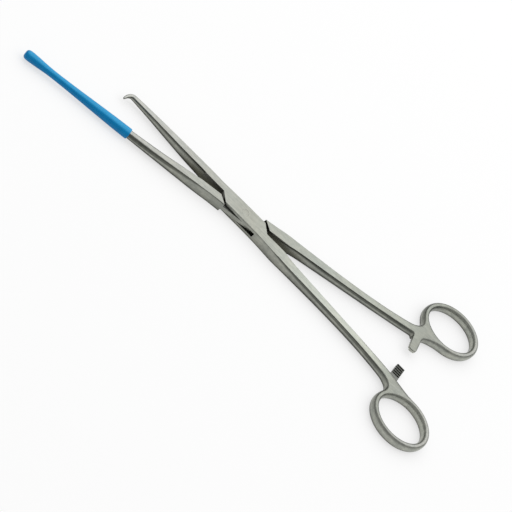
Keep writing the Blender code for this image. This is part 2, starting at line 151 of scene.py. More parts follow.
def adopt(name: str) -> bpy.types.Object:
    """Name the primitive just added, and put its place and size into its mesh.

    Args:
        name: The piece's name.

    Returns:
        The primitive's object.
    """
    piece = bpy.context.object
    piece.name = name
    piece.data.name = name
    take(piece)
    bpy.ops.object.transform_apply(location=True, rotation=True, scale=True)
    return piece


def block(name: str, low: Point, high: Point, turn: float = 0.0) -> bpy.types.Object:
    """Add a block between two corners, turned about the pivot.

    Args:
        name: The block's name.
        low: Its lowest corner before it is turned.
        high: Its highest corner before it is turned.
        turn: Angle about the pivot axis, in radians.

    Returns:
        The block.
    """
    deselect()
    first, last = Vector(low), Vector(high)
    middle = Matrix.Rotation(turn, 3, "Z") @ ((first + last) / 2)
    bpy.ops.mesh.primitive_cube_add(size=1, location=middle, rotation=(0, 0, turn), scale=last - first)
    return adopt(name)


def disc(name: str, radius: float, low: float, high: float, sides: int = 96) -> bpy.types.Object:
    """Add an upright cylinder on the pivot axis.

    Args:
        name: The cylinder's name.
        radius: Its radius.
        low: Height of its lower face.
        high: Height of its upper face.
        sides: Number of its sides.

    Returns:
        The cylinder.
    """
    deselect()
    place = (0, 0, (low + high) / 2)
    bpy.ops.mesh.primitive_cylinder_add(vertices=sides, radius=radius, depth=high - low, location=place)
    return adopt(name)


def work(
    piece: bpy.types.Object, tool: bpy.types.Object, cut: Cut, finish: bpy.types.Material | None = None
) -> None:
    """Cut or weld a piece with a tool, then drop the tool.

    Args:
        piece: The piece that is changed.
        tool: The closed mesh that changes it.
        cut: What the tool does.
        finish: The finish of the surfaces that the tool leaves.
    """
    if finish:
        tool.data.materials.append(finish)
    take(piece)
    change = piece.modifiers.new("Work", "BOOLEAN")
    change.operation = cut.value
    change.solver = "EXACT"
    change.material_mode = "TRANSFER"
    change.object = tool
    bpy.ops.object.modifier_apply(modifier=change.name)
    bpy.data.objects.remove(tool, do_unlink=True)


def bisect(piece: bpy.types.Object, place: Point, normal: Point) -> None:
    """Saw off what lies on the normal's side of a plane, and close the cut.

    Args:
        piece: The closed mesh to saw.
        place: A point on the plane.
        normal: Points to the side that goes.
    """
    with editing(piece, whole=True):
        bpy.ops.mesh.bisect(plane_co=place, plane_no=normal, use_fill=True, clear_outer=True)


def smooth(piece: bpy.types.Object, levels: int) -> None:
    """Smooth a cage by subdivision.

    Args:
        piece: The cage.
        levels: How often its faces are divided.
    """
    take(piece)
    divide = piece.modifiers.new("Smooth", "SUBSURF")
    divide.levels = levels
    divide.render_levels = levels
    bpy.ops.object.modifier_apply(modifier=divide.name)


def dress(piece: bpy.types.Object, material: bpy.types.Material) -> None:
    """Give a piece its only finish."""
    piece.data.materials.clear()
    piece.data.materials.append(material)


def mirror_and_open(piece: bpy.types.Object) -> None:
    """Mirror a piece in Y and open it about the pivot.

    Args:
        piece: A piece drawn in the closed instrument, on the other side.
    """
    with editing(piece, whole=True):
        bpy.ops.transform.resize(value=(1, -1, 1), center_override=(0, 0, 0))
        bpy.ops.mesh.flip_normals()
        bpy.ops.transform.rotate(value=-OPENING, orient_axis="Z", center_override=(0, 0, 0))


class BarDrawer:
    """Draws a bar out of a round blank: extruded section by section, then each one shaped and laid."""

    PITCH = 0.01
    CRISP_FROM = 0.62
    CROWN_ABOVE = 0.99
    SHOULDER_ABOVE = 0.5
    MIDDLE_WITHIN = 0.01
    OCTAGON = 8
    LAYERS = ("station", "role", "side")

    def __init__(self, name: str, points: int, first: int = 0) -> None:
        """Note the bar's name, the points of its section and its first station's number.

        Args:
            name: The bar's name.
            points: Points round its section.
            first: Number of its first station.
        """
        self.name = name
        self.points = points
        self.first = first
        self.piece: bpy.types.Object | None = None

    def draw(self, stations: Sequence[Station]) -> bpy.types.Object:
        """Draw the bar through its stations.

        Args:
            stations: Sections in order, from one end of the bar to the other.

        Returns:
            The closed bar.
        """
        self._blank()
        with editing(self.piece):
            self._draw_out(len(stations))
            for index, station in enumerate(stations):
                self._shape(index, station)
                self._lay(index, station)
            for index in range(len(stations) - 1):
                self._crisp(index, stations[index], stations[index + 1])
        return self.piece

    def pick(self, test: Callable[[int, int, int], bool]) -> None:
        """Select the points whose station, role and side pass a test.

        Args:
            test: Tells from a point's station, role and side whether it is selected.
        """
        bpy.ops.mesh.select_all(action="DESELECT")
        mesh = bmesh.from_edit_mesh(self.piece.data)
        layers = [mesh.verts.layers.int[name] for name in self.LAYERS]
        for vertex in mesh.verts:
            vertex.select = test(*(vertex[layer] for layer in layers))
        mesh.select_flush_mode()
        bmesh.update_edit_mesh(self.piece.data)

    def renumber(self, step: int) -> None:
        """Raise the station number of the selected points.

        Args:
            step: What their numbers go up by.
        """
        mesh = bmesh.from_edit_mesh(self.piece.data)
        station = mesh.verts.layers.int["station"]
        for vertex in mesh.verts:
            if vertex.select:
                vertex[station] += step

    def _blank(self) -> None:
        """Add the round blank's first section, square to X, and note each point's role and side."""
        deselect()
        turn = (math.pi / 2, 0, math.pi / 2)
        bpy.ops.mesh.primitive_circle_add(vertices=self.points, radius=1, fill_type="NGON", rotation=turn)
        self.piece = adopt(self.name)
        with editing(self.piece, whole=True):
            if self.points == self.OCTAGON:
                flat_up = math.pi / self.OCTAGON
                bpy.ops.transform.rotate(value=flat_up, orient_axis="X", center_override=(0, 0, 0))
            mesh = bmesh.from_edit_mesh(self.piece.data)
            station, role, side = (mesh.verts.layers.int.new(name) for name in self.LAYERS)
            for vertex in mesh.verts:
                vertex[station] = self.first
                vertex[role] = self._role(vertex.co.z)
                across = vertex.co.y
                vertex[side] = 0 if abs(across) < self.MIDDLE_WITHIN else round(math.copysign(1, across))
            bmesh.update_edit_mesh(self.piece.data)

    def _role(self, height: float) -> Role:
        """Role of a point at a height on the unit blank.

        Args:
            height: The point's height.

        Returns:
            Its role.
        """
        if abs(height) > self.CROWN_ABOVE:
            return Role.CROWN
        return Role.SHOULDER if abs(height) > self.SHOULDER_ABOVE else Role.FLANK

    def _draw_out(self, count: int) -> None:
        """Extrude the blank straight along X, one section for each station.

        Args:
            count: How many sections there are in all.
        """
        bpy.ops.mesh.select_all(action="SELECT")
        for index in range(1, count):
            bpy.ops.mesh.extrude_region_move(TRANSFORM_OT_translate={"value": (self.PITCH, 0, 0)})
            self.renumber(1)

    def _shape(self, index: int, station: Station) -> None:
        """Bring one section from the unit circle to its own width, height and corners.

        Args:
            index: The section's place in the bar.
            station: Its sizes.
        """
        number = self.first + index
        middle = (index * self.PITCH, 0, 0)
        half_width, half_height = station.width / 2, station.height / 2
        if station.corner is None:
            self.pick(lambda at, role, side: at == number)
            bpy.ops.transform.resize(value=(1, half_width, half_height), center_override=middle)
            return
        flank = station.corner if station.flank is None else station.flank
        places = {
            Role.CROWN: (1, half_height),
            Role.SHOULDER: (half_width * station.corner, half_height),
            Role.FLANK: (half_width, half_height * flank),
        }
        for wanted, (across, upward) in places.items():
            self.pick(lambda at, role, side: at == number and role == wanted)
            unit = Vector((0, 1, 1)) if wanted == Role.CROWN else self._unit(wanted)
            grown = (1, across / unit.y, upward / unit.z)
            bpy.ops.transform.resize(value=grown, center_override=middle)

    def _crisp(self, index: int, one: Station, other: Station) -> None:
        """Crease the shoulder lines between two sections where their corners are square.

        Args:
            index: The first section's place in the bar.
            one: The first section.
            other: The next one.
        """
        if one.corner is None or other.corner is None:
            return
        squarer = (min(one.corner, other.corner) - self.CRISP_FROM) / (1 - self.CRISP_FROM)
        numbers = (self.first + index, self.first + index + 1)
        if squarer > 0:
            self.pick(lambda at, role, side: at in numbers and role == Role.SHOULDER)
            bpy.ops.transform.edge_crease(value=squarer)

    def _unit(self, role: Role) -> Vector:
        """Place of a shoulder or flank point on the unit blank.

        Args:
            role: Shoulder or flank.

        Returns:
            Its place, square to X.
        """
        step = 360 / self.points
        angle = math.radians(step / 2 if role == Role.FLANK else step * 1.5)
        return Vector((0, math.cos(angle), math.sin(angle)))

    def _lay(self, index: int, station: Station) -> None:
        """Turn one section to its heading and carry it to its place.

        Args:
            index: The section's place in the bar.
            station: Where it goes.
        """
        number = self.first + index
        middle = (index * self.PITCH, 0, 0)
        self.pick(lambda at, role, side: at == number)
        bpy.ops.transform.rotate(value=-station.heading, orient_axis="Z", center_override=middle)
        bpy.ops.transform.translate(value=(station.x - middle[0], station.y, Lock.MIDDLE))


@dataclass(frozen=True)
class Lock:
    """Sizes of the box lock that both halves share."""

    MIDDLE: ClassVar[float] = 0.0033
    thickness: float = 0.0066
    half_width: float = 0.0047
    half_length: float = 0.0165
    taper: float = 0.0004
    neck: float = 0.7
    shoulder_reach: float = 0.0112
    shoulder_angle: float = math.radians(43.0)
    slot_height: float = 0.0030
    slot_radius: float = 0.0117
    split_gap: float = 0.0003
    clearance: float = 0.0003
    bore_radius: float = 0.00203
    corner: float = 0.93
    spare: float = 0.0030
    grinding: float = 0.0010
    grind_reach: float = 0.0450

    def stations(self, jaw_start: float) -> list[Station]:
        """Full-width sections of the lock, from the jaw's side to the shank's.

        Args:
            jaw_start: Distance from the pivot at which the jaw starts.

        Returns:
            The sections in order.
        """
        wide, height = self.half_width, self.thickness + self.grinding
        bridge = (jaw_start + self.half_length) / 2
        edges = [
            (-bridge, -self.neck * wide, wide - self.taper),
            (-self.half_length, -wide, wide - self.taper),
            (-self.half_length / 2, -wide, wide),
            (self.half_length / 2, -wide, wide),
            (self.half_length, -wide - self.taper, wide),
            (bridge, -wide - 2 * self.taper, self.neck * wide),
        ]
        return [Station(x, (low + high) / 2, high - low, height, self.corner) for x, low, high in edges]

    def grind(self, piece: bpy.types.Object, finish: bpy.types.Material) -> None:
        """Grind the lock's two faces flat.

        Args:
            piece: The forging.
            finish: The ground faces' finish.
        """
        wide, reach = 3 * self.half_width, self.grind_reach
        top = (-reach, -wide, self.thickness), (reach, wide, self.thickness + self.spare)
        bottom = (-reach, -wide, -self.spare), (reach, wide, 0.0)
        for low, high in (top, bottom):
            work(piece, block("grindstone", low, high), Cut.REMOVE, finish)


@dataclass(frozen=True)
class Shank:
    """Sizes of a shank, and its sections' share along it, width, height, corner and flank."""

    start: float = 0.0280
    end: float = 0.1060
    root_offset: float = 0.0032
    end_offset: float = 0.0080
    root_slope: float = 0.045
    end_slope: float = 0.130
    profile: tuple[tuple[float, float, float, float, float], ...] = (
        (0.00, 0.0058, 0.0064, 0.90, 0.90),
        (0.15, 0.0053, 0.0058, 0.86, 0.62),
        (0.35, 0.0048, 0.0052, 0.83, 0.46),
        (0.60, 0.0043, 0.0048, 0.80, 0.42),
        (0.80, 0.0046, 0.0049, 0.77, 0.42),
        (1.00, 0.0055, 0.0052, 0.70, 0.50),
    )

    def offset(self, share: float) -> float:
        """Distance of the shank's middle line from the instrument's own, a cubic between its two slopes.

        Args:
            share: How far along the shank, from 0 to 1.

        Returns:
            The distance.
        """
        length = self.end - self.start
        s, s2, s3 = share, share**2, share**3
        line = self.root_offset * (2 * s3 - 3 * s2 + 1) + self.end_offset * (3 * s2 - 2 * s3)
        return line + length * (self.root_slope * (s3 - 2 * s2 + s) + self.end_slope * (s3 - s2))

    def stations(self) -> list[Station]:
        """Sections of the shank, from the lock out to the ring.

        Returns:
            The sections in order.
        """
        result = []
        for share, width, height, corner, flank in self.profile:
            heading = -math.atan(mix(self.root_slope, self.end_slope, share))
            x = mix(self.start, self.end, share)
            result.append(Station(x, -self.offset(share), width, height, corner, heading, flank))
        return result


@dataclass(frozen=True)
class Ring:
    """Sizes of a finger ring and of the web that carries it."""

    centre: tuple[float, float] = (0.1275, -0.0237)
    half_length: float = 0.0164
    half_width: float = 0.0130
    tilt: float = math.radians(1.4)
    band: float = 0.0037
    height: float = 0.0064
    corner: float = 0.46
    free_stations: int = 18
    web_middle: float = math.radians(124.0)
    web_half_span: float = math.radians(24.0)
    web_corner: float = 0.62
    web: tuple[tuple[float, float, float, float], ...] = (
        (0.25, 0.0059, 0.0054, math.radians(-12.0)),
        (0.62, 0.0074, 0.0058, math.radians(-24.0)),
    )

    def station(self, angle: float) -> Station:
        """Section of the band at an angle round the ring, its +Y side outward.

        Args:
            angle: Angle from the ring's far end, in radians.

        Returns:
            The section.
        """
        along = Vector((self.half_length * math.cos(angle), self.half_width * math.sin(angle)))
        outward = Vector((math.cos(angle) / self.half_length, math.sin(angle) / self.half_width))
        turn = Matrix.Rotation(self.tilt, 2)
        along, outward = turn @ along, turn @ outward
        heading = math.atan2(-outward.x, outward.y)
        x, y = self.centre[0] + along.x, self.centre[1] + along.y
        return Station(x, y, self.band, self.height, self.corner, heading)

    def stations(self) -> list[Station]:
        """The web's near edge and middle, then the free arc from its far edge all the way round.

        Returns:
            The sections in order.
        """
        arc = 2 * math.pi - 2 * self.web_half_span
        start = self.web_middle + self.web_half_span
        angles = [self.web_middle - self.web_half_span, self.web_middle]
        angles += [start + arc * step / self.free_stations for step in range(self.free_stations)]
        return [self.station(angle) for angle in angles]

    def web_stations(self, shank_end: Station) -> list[Station]:
        """Sections of the web between the shank's end and the band's outer side.

        Args:
            shank_end: The shank's last section.

        Returns:
            The sections in order.
        """
        middle = self.station(self.web_middle)
        outer_x = middle.x - math.sin(middle.heading) * self.band / 2
        outer_y = middle.y + math.cos(middle.heading) * self.band / 2
        result = []
        for share, width, height, heading in self.web:
            x, y = mix(shank_end.x, outer_x, share), mix(shank_end.y, outer_y, share)
            result.append(Station(x, y, width, height, self.web_corner, heading))
        return result


@dataclass(frozen=True)
class Ratchet:
    """Sizes of the ratchet's two bars."""

    start: float = 0.1096
    width: float = 0.0048
    overlap: float = 0.0042
    root: float = 0.0095
    thickness: float = 0.0023
    crest_gap: float = 0.0003
    relief: float = 0.0040
    relief_root: float = 0.0052
    pitch: float = 0.0015
    depth: float = 0.0007
    teeth: int = 5
    lead: float = 0.8
    run_out: float = 0.125

    def lower_bar(self, finishes: Finishes) -> bpy.types.Object:
        """Make the lower bar, its teeth milled across its top.

        Args:
            finishes: The half's finishes.

        Returns:
            The bar, ready to be welded to its shank.
        """
        crest = Lock.MIDDLE - self.crest_gap / 2
        low = (self.start, -self.root, Lock.MIDDLE - self.thickness)
        bar = block("ratchet_bar", low, (self.start + self.width, self.overlap, crest))
        bar.data.materials.append(finishes.milled)
        work(bar, self._notches(crest, -1), Cut.REMOVE, finishes.teeth)
        return bar

    def mill_upper(self, piece: bpy.types.Object, finishes: Finishes) -> None:
        """Mill away the lower half of the upper bar, and its teeth, facing down.

        Args:
            piece: The forging whose cage has the upper bar.
            finishes: The half's finishes.
        """
        crest = Lock.MIDDLE + self.crest_gap / 2
        low = (self.start - self.relief, -self.relief_root, -self.relief)
        high = (self.start + self.width + self.relief, self.overlap + self.relief, crest)
        work(piece, block("relief", low, high), Cut.REMOVE, finishes.milled)
        work(piece, self._notches(crest, 1), Cut.REMOVE, finishes.teeth)

    def _notches(self, crest: float, way: int) -> bpy.types.Object:
        """The milling tool: one wedge, copied along the bar at the teeth's pitch.

        Args:
            crest: Height of the teeth's crests.
            way: 1 for teeth that face down, and -1 for teeth that face up.

        Returns:
            The tool.
        """
        first = self.overlap - self.pitch * self.teeth
        end = first + self.pitch * self.lead
        ends = sorted((crest + way * self.depth, crest - way * self.depth))
        spare = self.width * self.run_out
        same_place = self.depth / 10
        low = (self.start - spare, first, ends[0])
        wedge = block("wedge", low, (self.start + self.width + spare, end, ends[1]))
        with editing(wedge):
            mesh = bmesh.from_edit_mesh(wedge.data)
            for vertex in mesh.verts:
                at_start = abs(vertex.co.y - first) < same_place
                vertex.select = at_start and way * (vertex.co.z - crest) > 0
            mesh.select_flush_mode()
            bpy.ops.transform.translate(value=(0, 0, -way * self.depth))
        row = wedge.modifiers.new("Row", "ARRAY")
        row.count = self.teeth
        row.use_relative_offset = False
        row.use_constant_offset = True
        row.constant_offset_displace = (0, self.pitch, 0)
        bpy.ops.object.modifier_apply(modifier=row.name)
        return wedge


@dataclass
class Forging:
    """One half, drawn as a single smooth cage: jaw, lock, shank, web and finger ring."""

    name: str
    finishes: Finishes
    lock: Lock = field(default_factory=Lock)
    shank: Shank = field(default_factory=Shank)
    ring: Ring = field(default_factory=Ring)
    ratchet: Ratchet = field(default_factory=Ratchet)
    jaw_start: float = 0.0260
    strip_points: int = 10
    ring_number: int = 100
    smooth_levels: int = 2
    merge_within: float = 1e-6
    sharp_from: float = math.radians(32.0)

    def jaw(self) -> list[Station]:
        """Sections of the jaw, tip first. Each half has its own."""
        raise NotImplementedError

    def machine(self, piece: bpy.types.Object) -> None:
        """Cut this half's part of the lock and ratchet. Each half has its own."""
        raise NotImplementedError

    def grow(self, bar: BarDrawer, strip: list[Station]) -> None:
        """Draw further forms out of the sewn cage. The box half has none."""

    def build(self) -> bpy.types.Object:
        """Forge, smooth and machine the half.

        Returns:
            The finished piece, satin where it was forged and milled where the tools cut.
        """
        piece = self._forge()
        dress(piece, self.finishes.satin)
        smooth(piece, self.smooth_levels)
        self.lock.grind(piece, self.finishes.satin)
        self.machine(piece)
        drill = disc("drill", self.lock.bore_radius, -self.lock.spare, 3 * self.lock.spare)
        work(piece, drill, Cut.REMOVE, self.finishes.milled)
        self._finish(piece)
        return piece

    def _forge(self) -> bpy.types.Object:
        """Draw the strip and the ring, and sew them together at the web.

        Returns:
            The cage.
        """
        shank = self.shank.stations()
        strip = self.jaw() + self.lock.stations(self.jaw_start) + shank + self.ring.web_stations(shank[-1])
        band = self.ring.stations()
        last = len(strip) - 1
        ring = BarDrawer("ring", BarDrawer.OCTAGON, self.ring_number)
        ring_piece = ring.draw(band)
        self._close_ring(ring, self.ring_number + len(band) - 1)
        bar = BarDrawer(self.name, self.strip_points)
        piece = bar.draw(strip)
        ring_piece.select_set(True)
        bpy.ops.object.join()
        bar.piece = piece
        self._sew_web(bar, last)
        self.grow(bar, strip)
        return piece

    def _quarter(self, name: str, way: int, reach: float, floor: float, roof: float) -> bpy.types.Object:
        """Add a block over one free quarter of the lock, from the pivot out past the lock's side.

        Args:
            name: The block's name.
            way: 1 for the shank's end of the lock, -1 for the jaw's.
            reach: How far it goes along the lock.
            floor: Its lowest height.
            roof: Its greatest height.

        Returns:
            The block.
        """
        gap, wide = self.lock.split_gap / 2, 3 * self.lock.half_width
        (x0, x1), (y0, y1) = sorted((0, way * reach)), sorted((-way * gap, way * wide))
        return block(name, (x0, y0, floor), (x1, y1, roof))

    def _close_ring(self, ring: BarDrawer, last: int) -> None:
        """Take off the ring's two end faces and bridge its last section to its first.

        Args:
            ring: The drawer that drew the ring.
            last: Number of the ring's last station.
        """
        with editing(ring.piece):
            for number in (ring.first, last):
                ring.pick(lambda at, role, side: at == number)
                bpy.ops.mesh.delete(type="ONLY_FACE")
            ring.pick(lambda at, role, side: at in (ring.first, last))
            bpy.ops.mesh.bridge_edge_loops()

    def _sew_web(self, bar: BarDrawer, last: int) -> None:
        """Open the ring's outer side at the web and bridge the strip's end to it.

        Args:
            bar: The drawer of the strip, joined with the ring.
            last: Number of the strip's last station.
        """
        rims = range(self.ring_number, self.ring_number + 3)
        with editing(bar.piece):
            bar.pick(lambda at, role, side: at == last)
            bpy.ops.mesh.delete(type="ONLY_FACE")
            bar.pick(lambda at, role, side: at in rims and side > 0)
            bpy.ops.mesh.delete(type="FACE")
            bar.pick(lambda at, role, side: at == last or (at in rims and side > 0))
            bpy.ops.mesh.bridge_edge_loops()
            bpy.ops.mesh.select_all(action="SELECT")
            bpy.ops.mesh.normals_make_consistent(inside=False)

    def _finish(self, piece: bpy.types.Object) -> None:
        """Merge doubles and shade smooth between the machined edges.

        Args:
            piece: The machined forging.
        """
        with editing(piece, whole=True):
            bpy.ops.mesh.remove_doubles(threshold=self.merge_within)
        for name in BarDrawer.LAYERS:
            old = piece.data.attributes.get(name)
            if old:
                piece.data.attributes.remove(old)
        take(piece)
        bpy.ops.object.shade_smooth_by_angle(angle=self.sharp_from)
        even = piece.modifiers.new("Even", "WEIGHTED_NORMAL")
        even.keep_sharp = True
        bpy.ops.object.modifier_apply(modifier=even.name)


@dataclass
class HookHalf(Forging):
    """The box half: a jaw that ends in one curved claw, and a lock with a slot right through."""

    hook_start: float = 0.0799
    hook_offset: float = 0.0044
    root_width: float = 0.0028
    tip_width: float = 0.0010
    flatness: float = 0.95
    root_corner: float = 0.76
    reach: float = 0.0036
    drop: float = 0.0056
    thinning: float = 1.5
    steps: int = 6
    profile: tuple[tuple[float, ...], ...] = (
        (0.72, 0.00400, 0.0033, 0.0039, 0.82, 0.42),
        (0.45, 0.00325, 0.0042, 0.0050, 0.86, 0.44),
        (0.18, 0.00255, 0.0044, 0.0063, 0.88, 0.50),
        (0.00, 0.00250, 0.0042, 0.0067, 0.91, 0.66),
    )

    def jaw(self) -> list[Station]:
        """Sections of the claw, a quarter ellipse that tapers to a point, then of the jaw.

        Returns:
            The sections in order.
        """
        return self._claw() + [
            Station(-mix(self.jaw_start, self.hook_start, share), offset, width, height, corner, flank=flank)
            for share, offset, width, height, corner, flank in self.profile
        ]

    def _claw(self) -> list[Station]:
        """Sections of the claw, tip first.

        Returns:
            The sections in order.
        """
        result = []
        for step in range(self.steps, -1, -1):
            share = step / self.steps
            turn = share * math.pi / 2
            x = -self.hook_start - self.reach * math.sin(turn)
            y = self.hook_offset - self.drop * (1 - math.cos(turn))
            heading = math.atan2(self.drop * math.sin(turn), self.reach * math.cos(turn))
            width = mix(self.root_width, self.tip_width, share**self.thinning)
            corner = mix(self.root_corner, ROUND, share)
            result.append(Station(x, y, width, width * self.flatness, corner, heading, ROUND))
        return result

    def machine(self, piece: bpy.types.Object) -> None:
        """Cut the cheeks to their slanting ends, mill the slot and weld on the lower ratchet bar.

        Args:
            piece: The smoothed forging.
        """
        lock = self.lock
        gap, far, wide = lock.split_gap / 2, self.shank.start + lock.spare, 3 * lock.half_width
        milled = self.finishes.milled
        for way in (1, -1):
            turn = lock.shoulder_angle + (0 if way > 0 else math.pi)
            low = (lock.shoulder_reach, -far, -lock.spare)
            tool = block("cheek_cut", low, (far + wide, far, lock.thickness + lock.spare), turn)
            bisect(tool, (0, -way * gap, 0), (0, -way, 0))
            bisect(tool, (way * far, 0, 0), (way, 0, 0))
            work(piece, tool, Cut.REMOVE, milled)
        floor, roof = Lock.MIDDLE - lock.slot_height / 2, Lock.MIDDLE + lock.slot_height / 2
        work(piece, disc("slot", lock.slot_radius, floor, roof), Cut.REMOVE, milled)
        for way in (1, -1):
            work(piece, self._quarter("slot_mouth", way, self.shank.start, floor, roof), Cut.REMOVE, milled)
        work(piece, self.ratchet.lower_bar(self.finishes), Cut.WELD)


@dataclass
class Sleeve:
    """The insulating sleeve: one moulded wall, a bulb at its closed tip and a plain open mouth."""

    tip: float = -0.1363
    length: float = 0.0652
    tip_offset: float = 0.0019
    mouth_offset: float = 0.0031
    mouth_radius: float = 0.0030
    neck_radius: float = 0.0020
    neck_at: float = 0.0170
    bulb_radius: float = 0.0027
    bulb_at: float = 0.0030
    bulb_roundness: float = 3.0
    wall: float = 0.0004
    seat: float = 0.0003
    sides: int = 24
    tip_marks: tuple[float, ...] = (0.04, 0.15, 0.4, 0.7, 1.0)
    lip_marks: tuple[float, ...] = (0.15, 0.85)
    outer_rows: int = 16
    inner_rows: int = 12
    smooth_levels: int = 2

    def radius(self, from_tip: float) -> float:
        """Outer radius at a distance from the tip: round end, bulb, neck, then wider to the mouth.

        Args:
            from_tip: Distance from the tip.

        Returns:
            The radius.
        """
        if from_tip < self.bulb_at:
            left = 1 - from_tip / self.bulb_at
            return self.bulb_radius * (1 - left**self.bulb_roundness) ** (1 / self.bulb_roundness)
        if from_tip < self.neck_at:
            share = (from_tip - self.bulb_at) / (self.neck_at - self.bulb_at)
            return mix(self.bulb_radius, self.neck_radius, smooth_step(share))
        share = (from_tip - self.neck_at) / (self.length - self.neck_at)
        return mix(self.neck_radius, self.mouth_radius, smooth_step(share))

    def offset(self, from_tip: float) -> float:
        """Distance of the sleeve's axis from the instrument's middle line."""
        return mix(self.tip_offset, self.mouth_offset, from_tip / self.length)

    def build(self, finish: bpy.types.Material) -> bpy.types.Object:
        """Draw the outer wall from tip to mouth and the inner one back, round the lip and dress it.

        Args:
            finish: The sleeve's finish.

        Returns:
            The sleeve in its place on the probe.
        """
        steps_out, steps_back = range(1, self.outer_rows + 1), range(self.inner_rows + 1)
        marks = [self.bulb_at * share for share in self.tip_marks]
        marks += [mix(self.bulb_at, self.length, step / self.outer_rows) for step in steps_out]
        outer = [(at, self.radius(at)) for at in marks]
        lip = [(self.length, self.radius(self.length) - self.wall * share) for share in self.lip_marks]
        back = [mix(self.length, self.wall + self.seat, step / self.inner_rows) for step in steps_back]
        inner = [(at, self.radius(max(at, self.bulb_at / 2)) - self.wall) for at in back]
        heading = math.atan2(self.mouth_offset - self.tip_offset, self.length)
        stations = []
        for at, radius in outer + lip + inner:
            stations.append(Station(self.tip + at, self.offset(at), 2 * radius, 2 * radius, None, heading))
        piece = BarDrawer("insulating_sleeve", self.sides).draw(stations)
        with editing(piece, whole=True):
            bpy.ops.mesh.normals_make_consistent(inside=False)
        smooth(piece, self.smooth_levels)
        bpy.ops.object.shade_smooth_by_angle(angle=SHARP_FROM)
        mirror_and_open(piece)
        dress(piece, finish)
        return piece


@dataclass
class ProbeHalf(Forging):
    """The tongue half: a jaw that runs on as a round probe, and a thin tongue between two shoulders."""

    sleeve: Sleeve = field(default_factory=Sleeve)
    core_blunt: float = 0.4
    core: tuple[float, ...] = (0.0, 0.03, 0.08, 0.16, 0.26, 0.38, 0.52, 0.68, 0.84, 1.0)
    profile: tuple[tuple[float, ...], ...] = (
        (0.80, 0.00310, 0.0047, 0.0050, 0.56, 0.44),
        (0.55, 0.00304, 0.0046, 0.0053, 0.74, 0.46),
        (0.22, 0.00250, 0.0046, 0.0063, 0.86, 0.62),
        (0.00, 0.00240, 0.0042, 0.0067, 0.91, 0.91),
    )
    tab_corner: float = 0.78
    tab_step: int = 200
    tab: tuple[tuple[float, float, float], ...] = (
        (-0.0036, 0.0050, 0.0046),
        (0.0006, 0.0048, 0.0046),
        (0.0030, 0.0047, 0.0046),
        (0.0043, 0.0038, 0.0040),
    )

    def jaw(self) -> list[Station]:
        """Sections of the core in the sleeve, tip first, then of the jaw.

        Returns:
            The sections in order.
        """
        sleeve = self.sleeve
        inset = sleeve.wall + sleeve.seat
        core = []
        for share in self.core:
            from_tip = mix(sleeve.wall + 2 * sleeve.seat, sleeve.length, share)
            width = 2 * (sleeve.radius(max(from_tip, sleeve.bulb_at * self.core_blunt)) - inset)
            x, y = sleeve.tip + from_tip, sleeve.offset(from_tip)
            core.append(Station(x, y, width, width, ROUND))
        mouth = -sleeve.tip - sleeve.length
        return core + [
            Station(-mix(self.jaw_start, mouth, share), offset, width, height, corner, flank=flank)
            for share, offset, width, height, corner, flank in self.profile
        ]

    def grow(self, bar: BarDrawer, strip: list[Station]) -> None:
        """Draw the upper ratchet bar out of the web's inner side, so that it blends into both.

        Args:
            bar: The drawer of the cage.
            strip: The strip's sections.
        """
        numbers = [len(strip) - 2, len(strip) - 1]
        shapes = [(source.height, source.corner) for source in strip[-2:]]
        middle = self.ratchet.start + self.ratchet.width / 2
        with editing(bar.piece):
            bar.pick(lambda at, role, side: at in numbers and side > 0)
            for y, width, height in self.tab:
                bpy.ops.mesh.extrude_region_move()
                bar.renumber(self.tab_step)
                numbers = [number + self.tab_step for number in numbers]
                for end, way in enumerate((-1, 1)):
                    centre = (middle + way * width / 2, y, Lock.MIDDLE)
                    old_height, old_corner = shapes[end]
                    grown = height / old_height
                    bar.pick(lambda at, role, side: at == numbers[end] and role == Role.SHOULDER)
                    bpy.ops.transform.resize(value=(0, 0, grown), center_override=centre)
                    bar.pick(lambda at, role, side: at == numbers[end] and role == Role.FLANK)
                    grown *= self.tab_corner / old_corner
                    bpy.ops.transform.resize(value=(0, 0, grown), center_override=centre)
                    shapes[end] = (height, self.tab_corner)
                bar.pick(lambda at, role, side: at in numbers)

    def machine(self, piece: bpy.types.Object) -> None:
        """Thin the tongue between its shoulders, round its free ends and mill the upper ratchet bar.

        Args:
            piece: The smoothed forging.
        """
        lock = self.lock
        far, top = self.shank.start + lock.spare, lock.thickness + lock.spare
        milled = self.finishes.milled
        reach = lock.shoulder_reach + lock.clearance
        tongue = lock.slot_height - 2 * lock.clearance
        sides = (Lock.MIDDLE + tongue / 2, top), (-lock.spare, Lock.MIDDLE - tongue / 2)
        for low, high in sides:
            tool = block("recess", (-reach, -far, low), (reach, far, high), -lock.shoulder_angle)
            work(piece, tool, Cut.REMOVE, milled)
        for way in (1, -1):
            tool = self._quarter("end_cut", way, far, -lock.spare, top)
            core = disc("core", lock.slot_radius - lock.clearance, -2 * lock.spare, top + lock.spare)
            work(tool, core, Cut.REMOVE)
            work(piece, tool, Cut.REMOVE, milled)
        self.ratchet.mill_upper(piece, self.finishes)

    def build(self) -> bpy.types.Object:
        """Forge and machine the half, then mirror it in Y and open it about the pivot.

        Returns:
            The finished piece, in the photograph's pose.
        """
        piece = super().build()
        mirror_and_open(piece)
        return piece


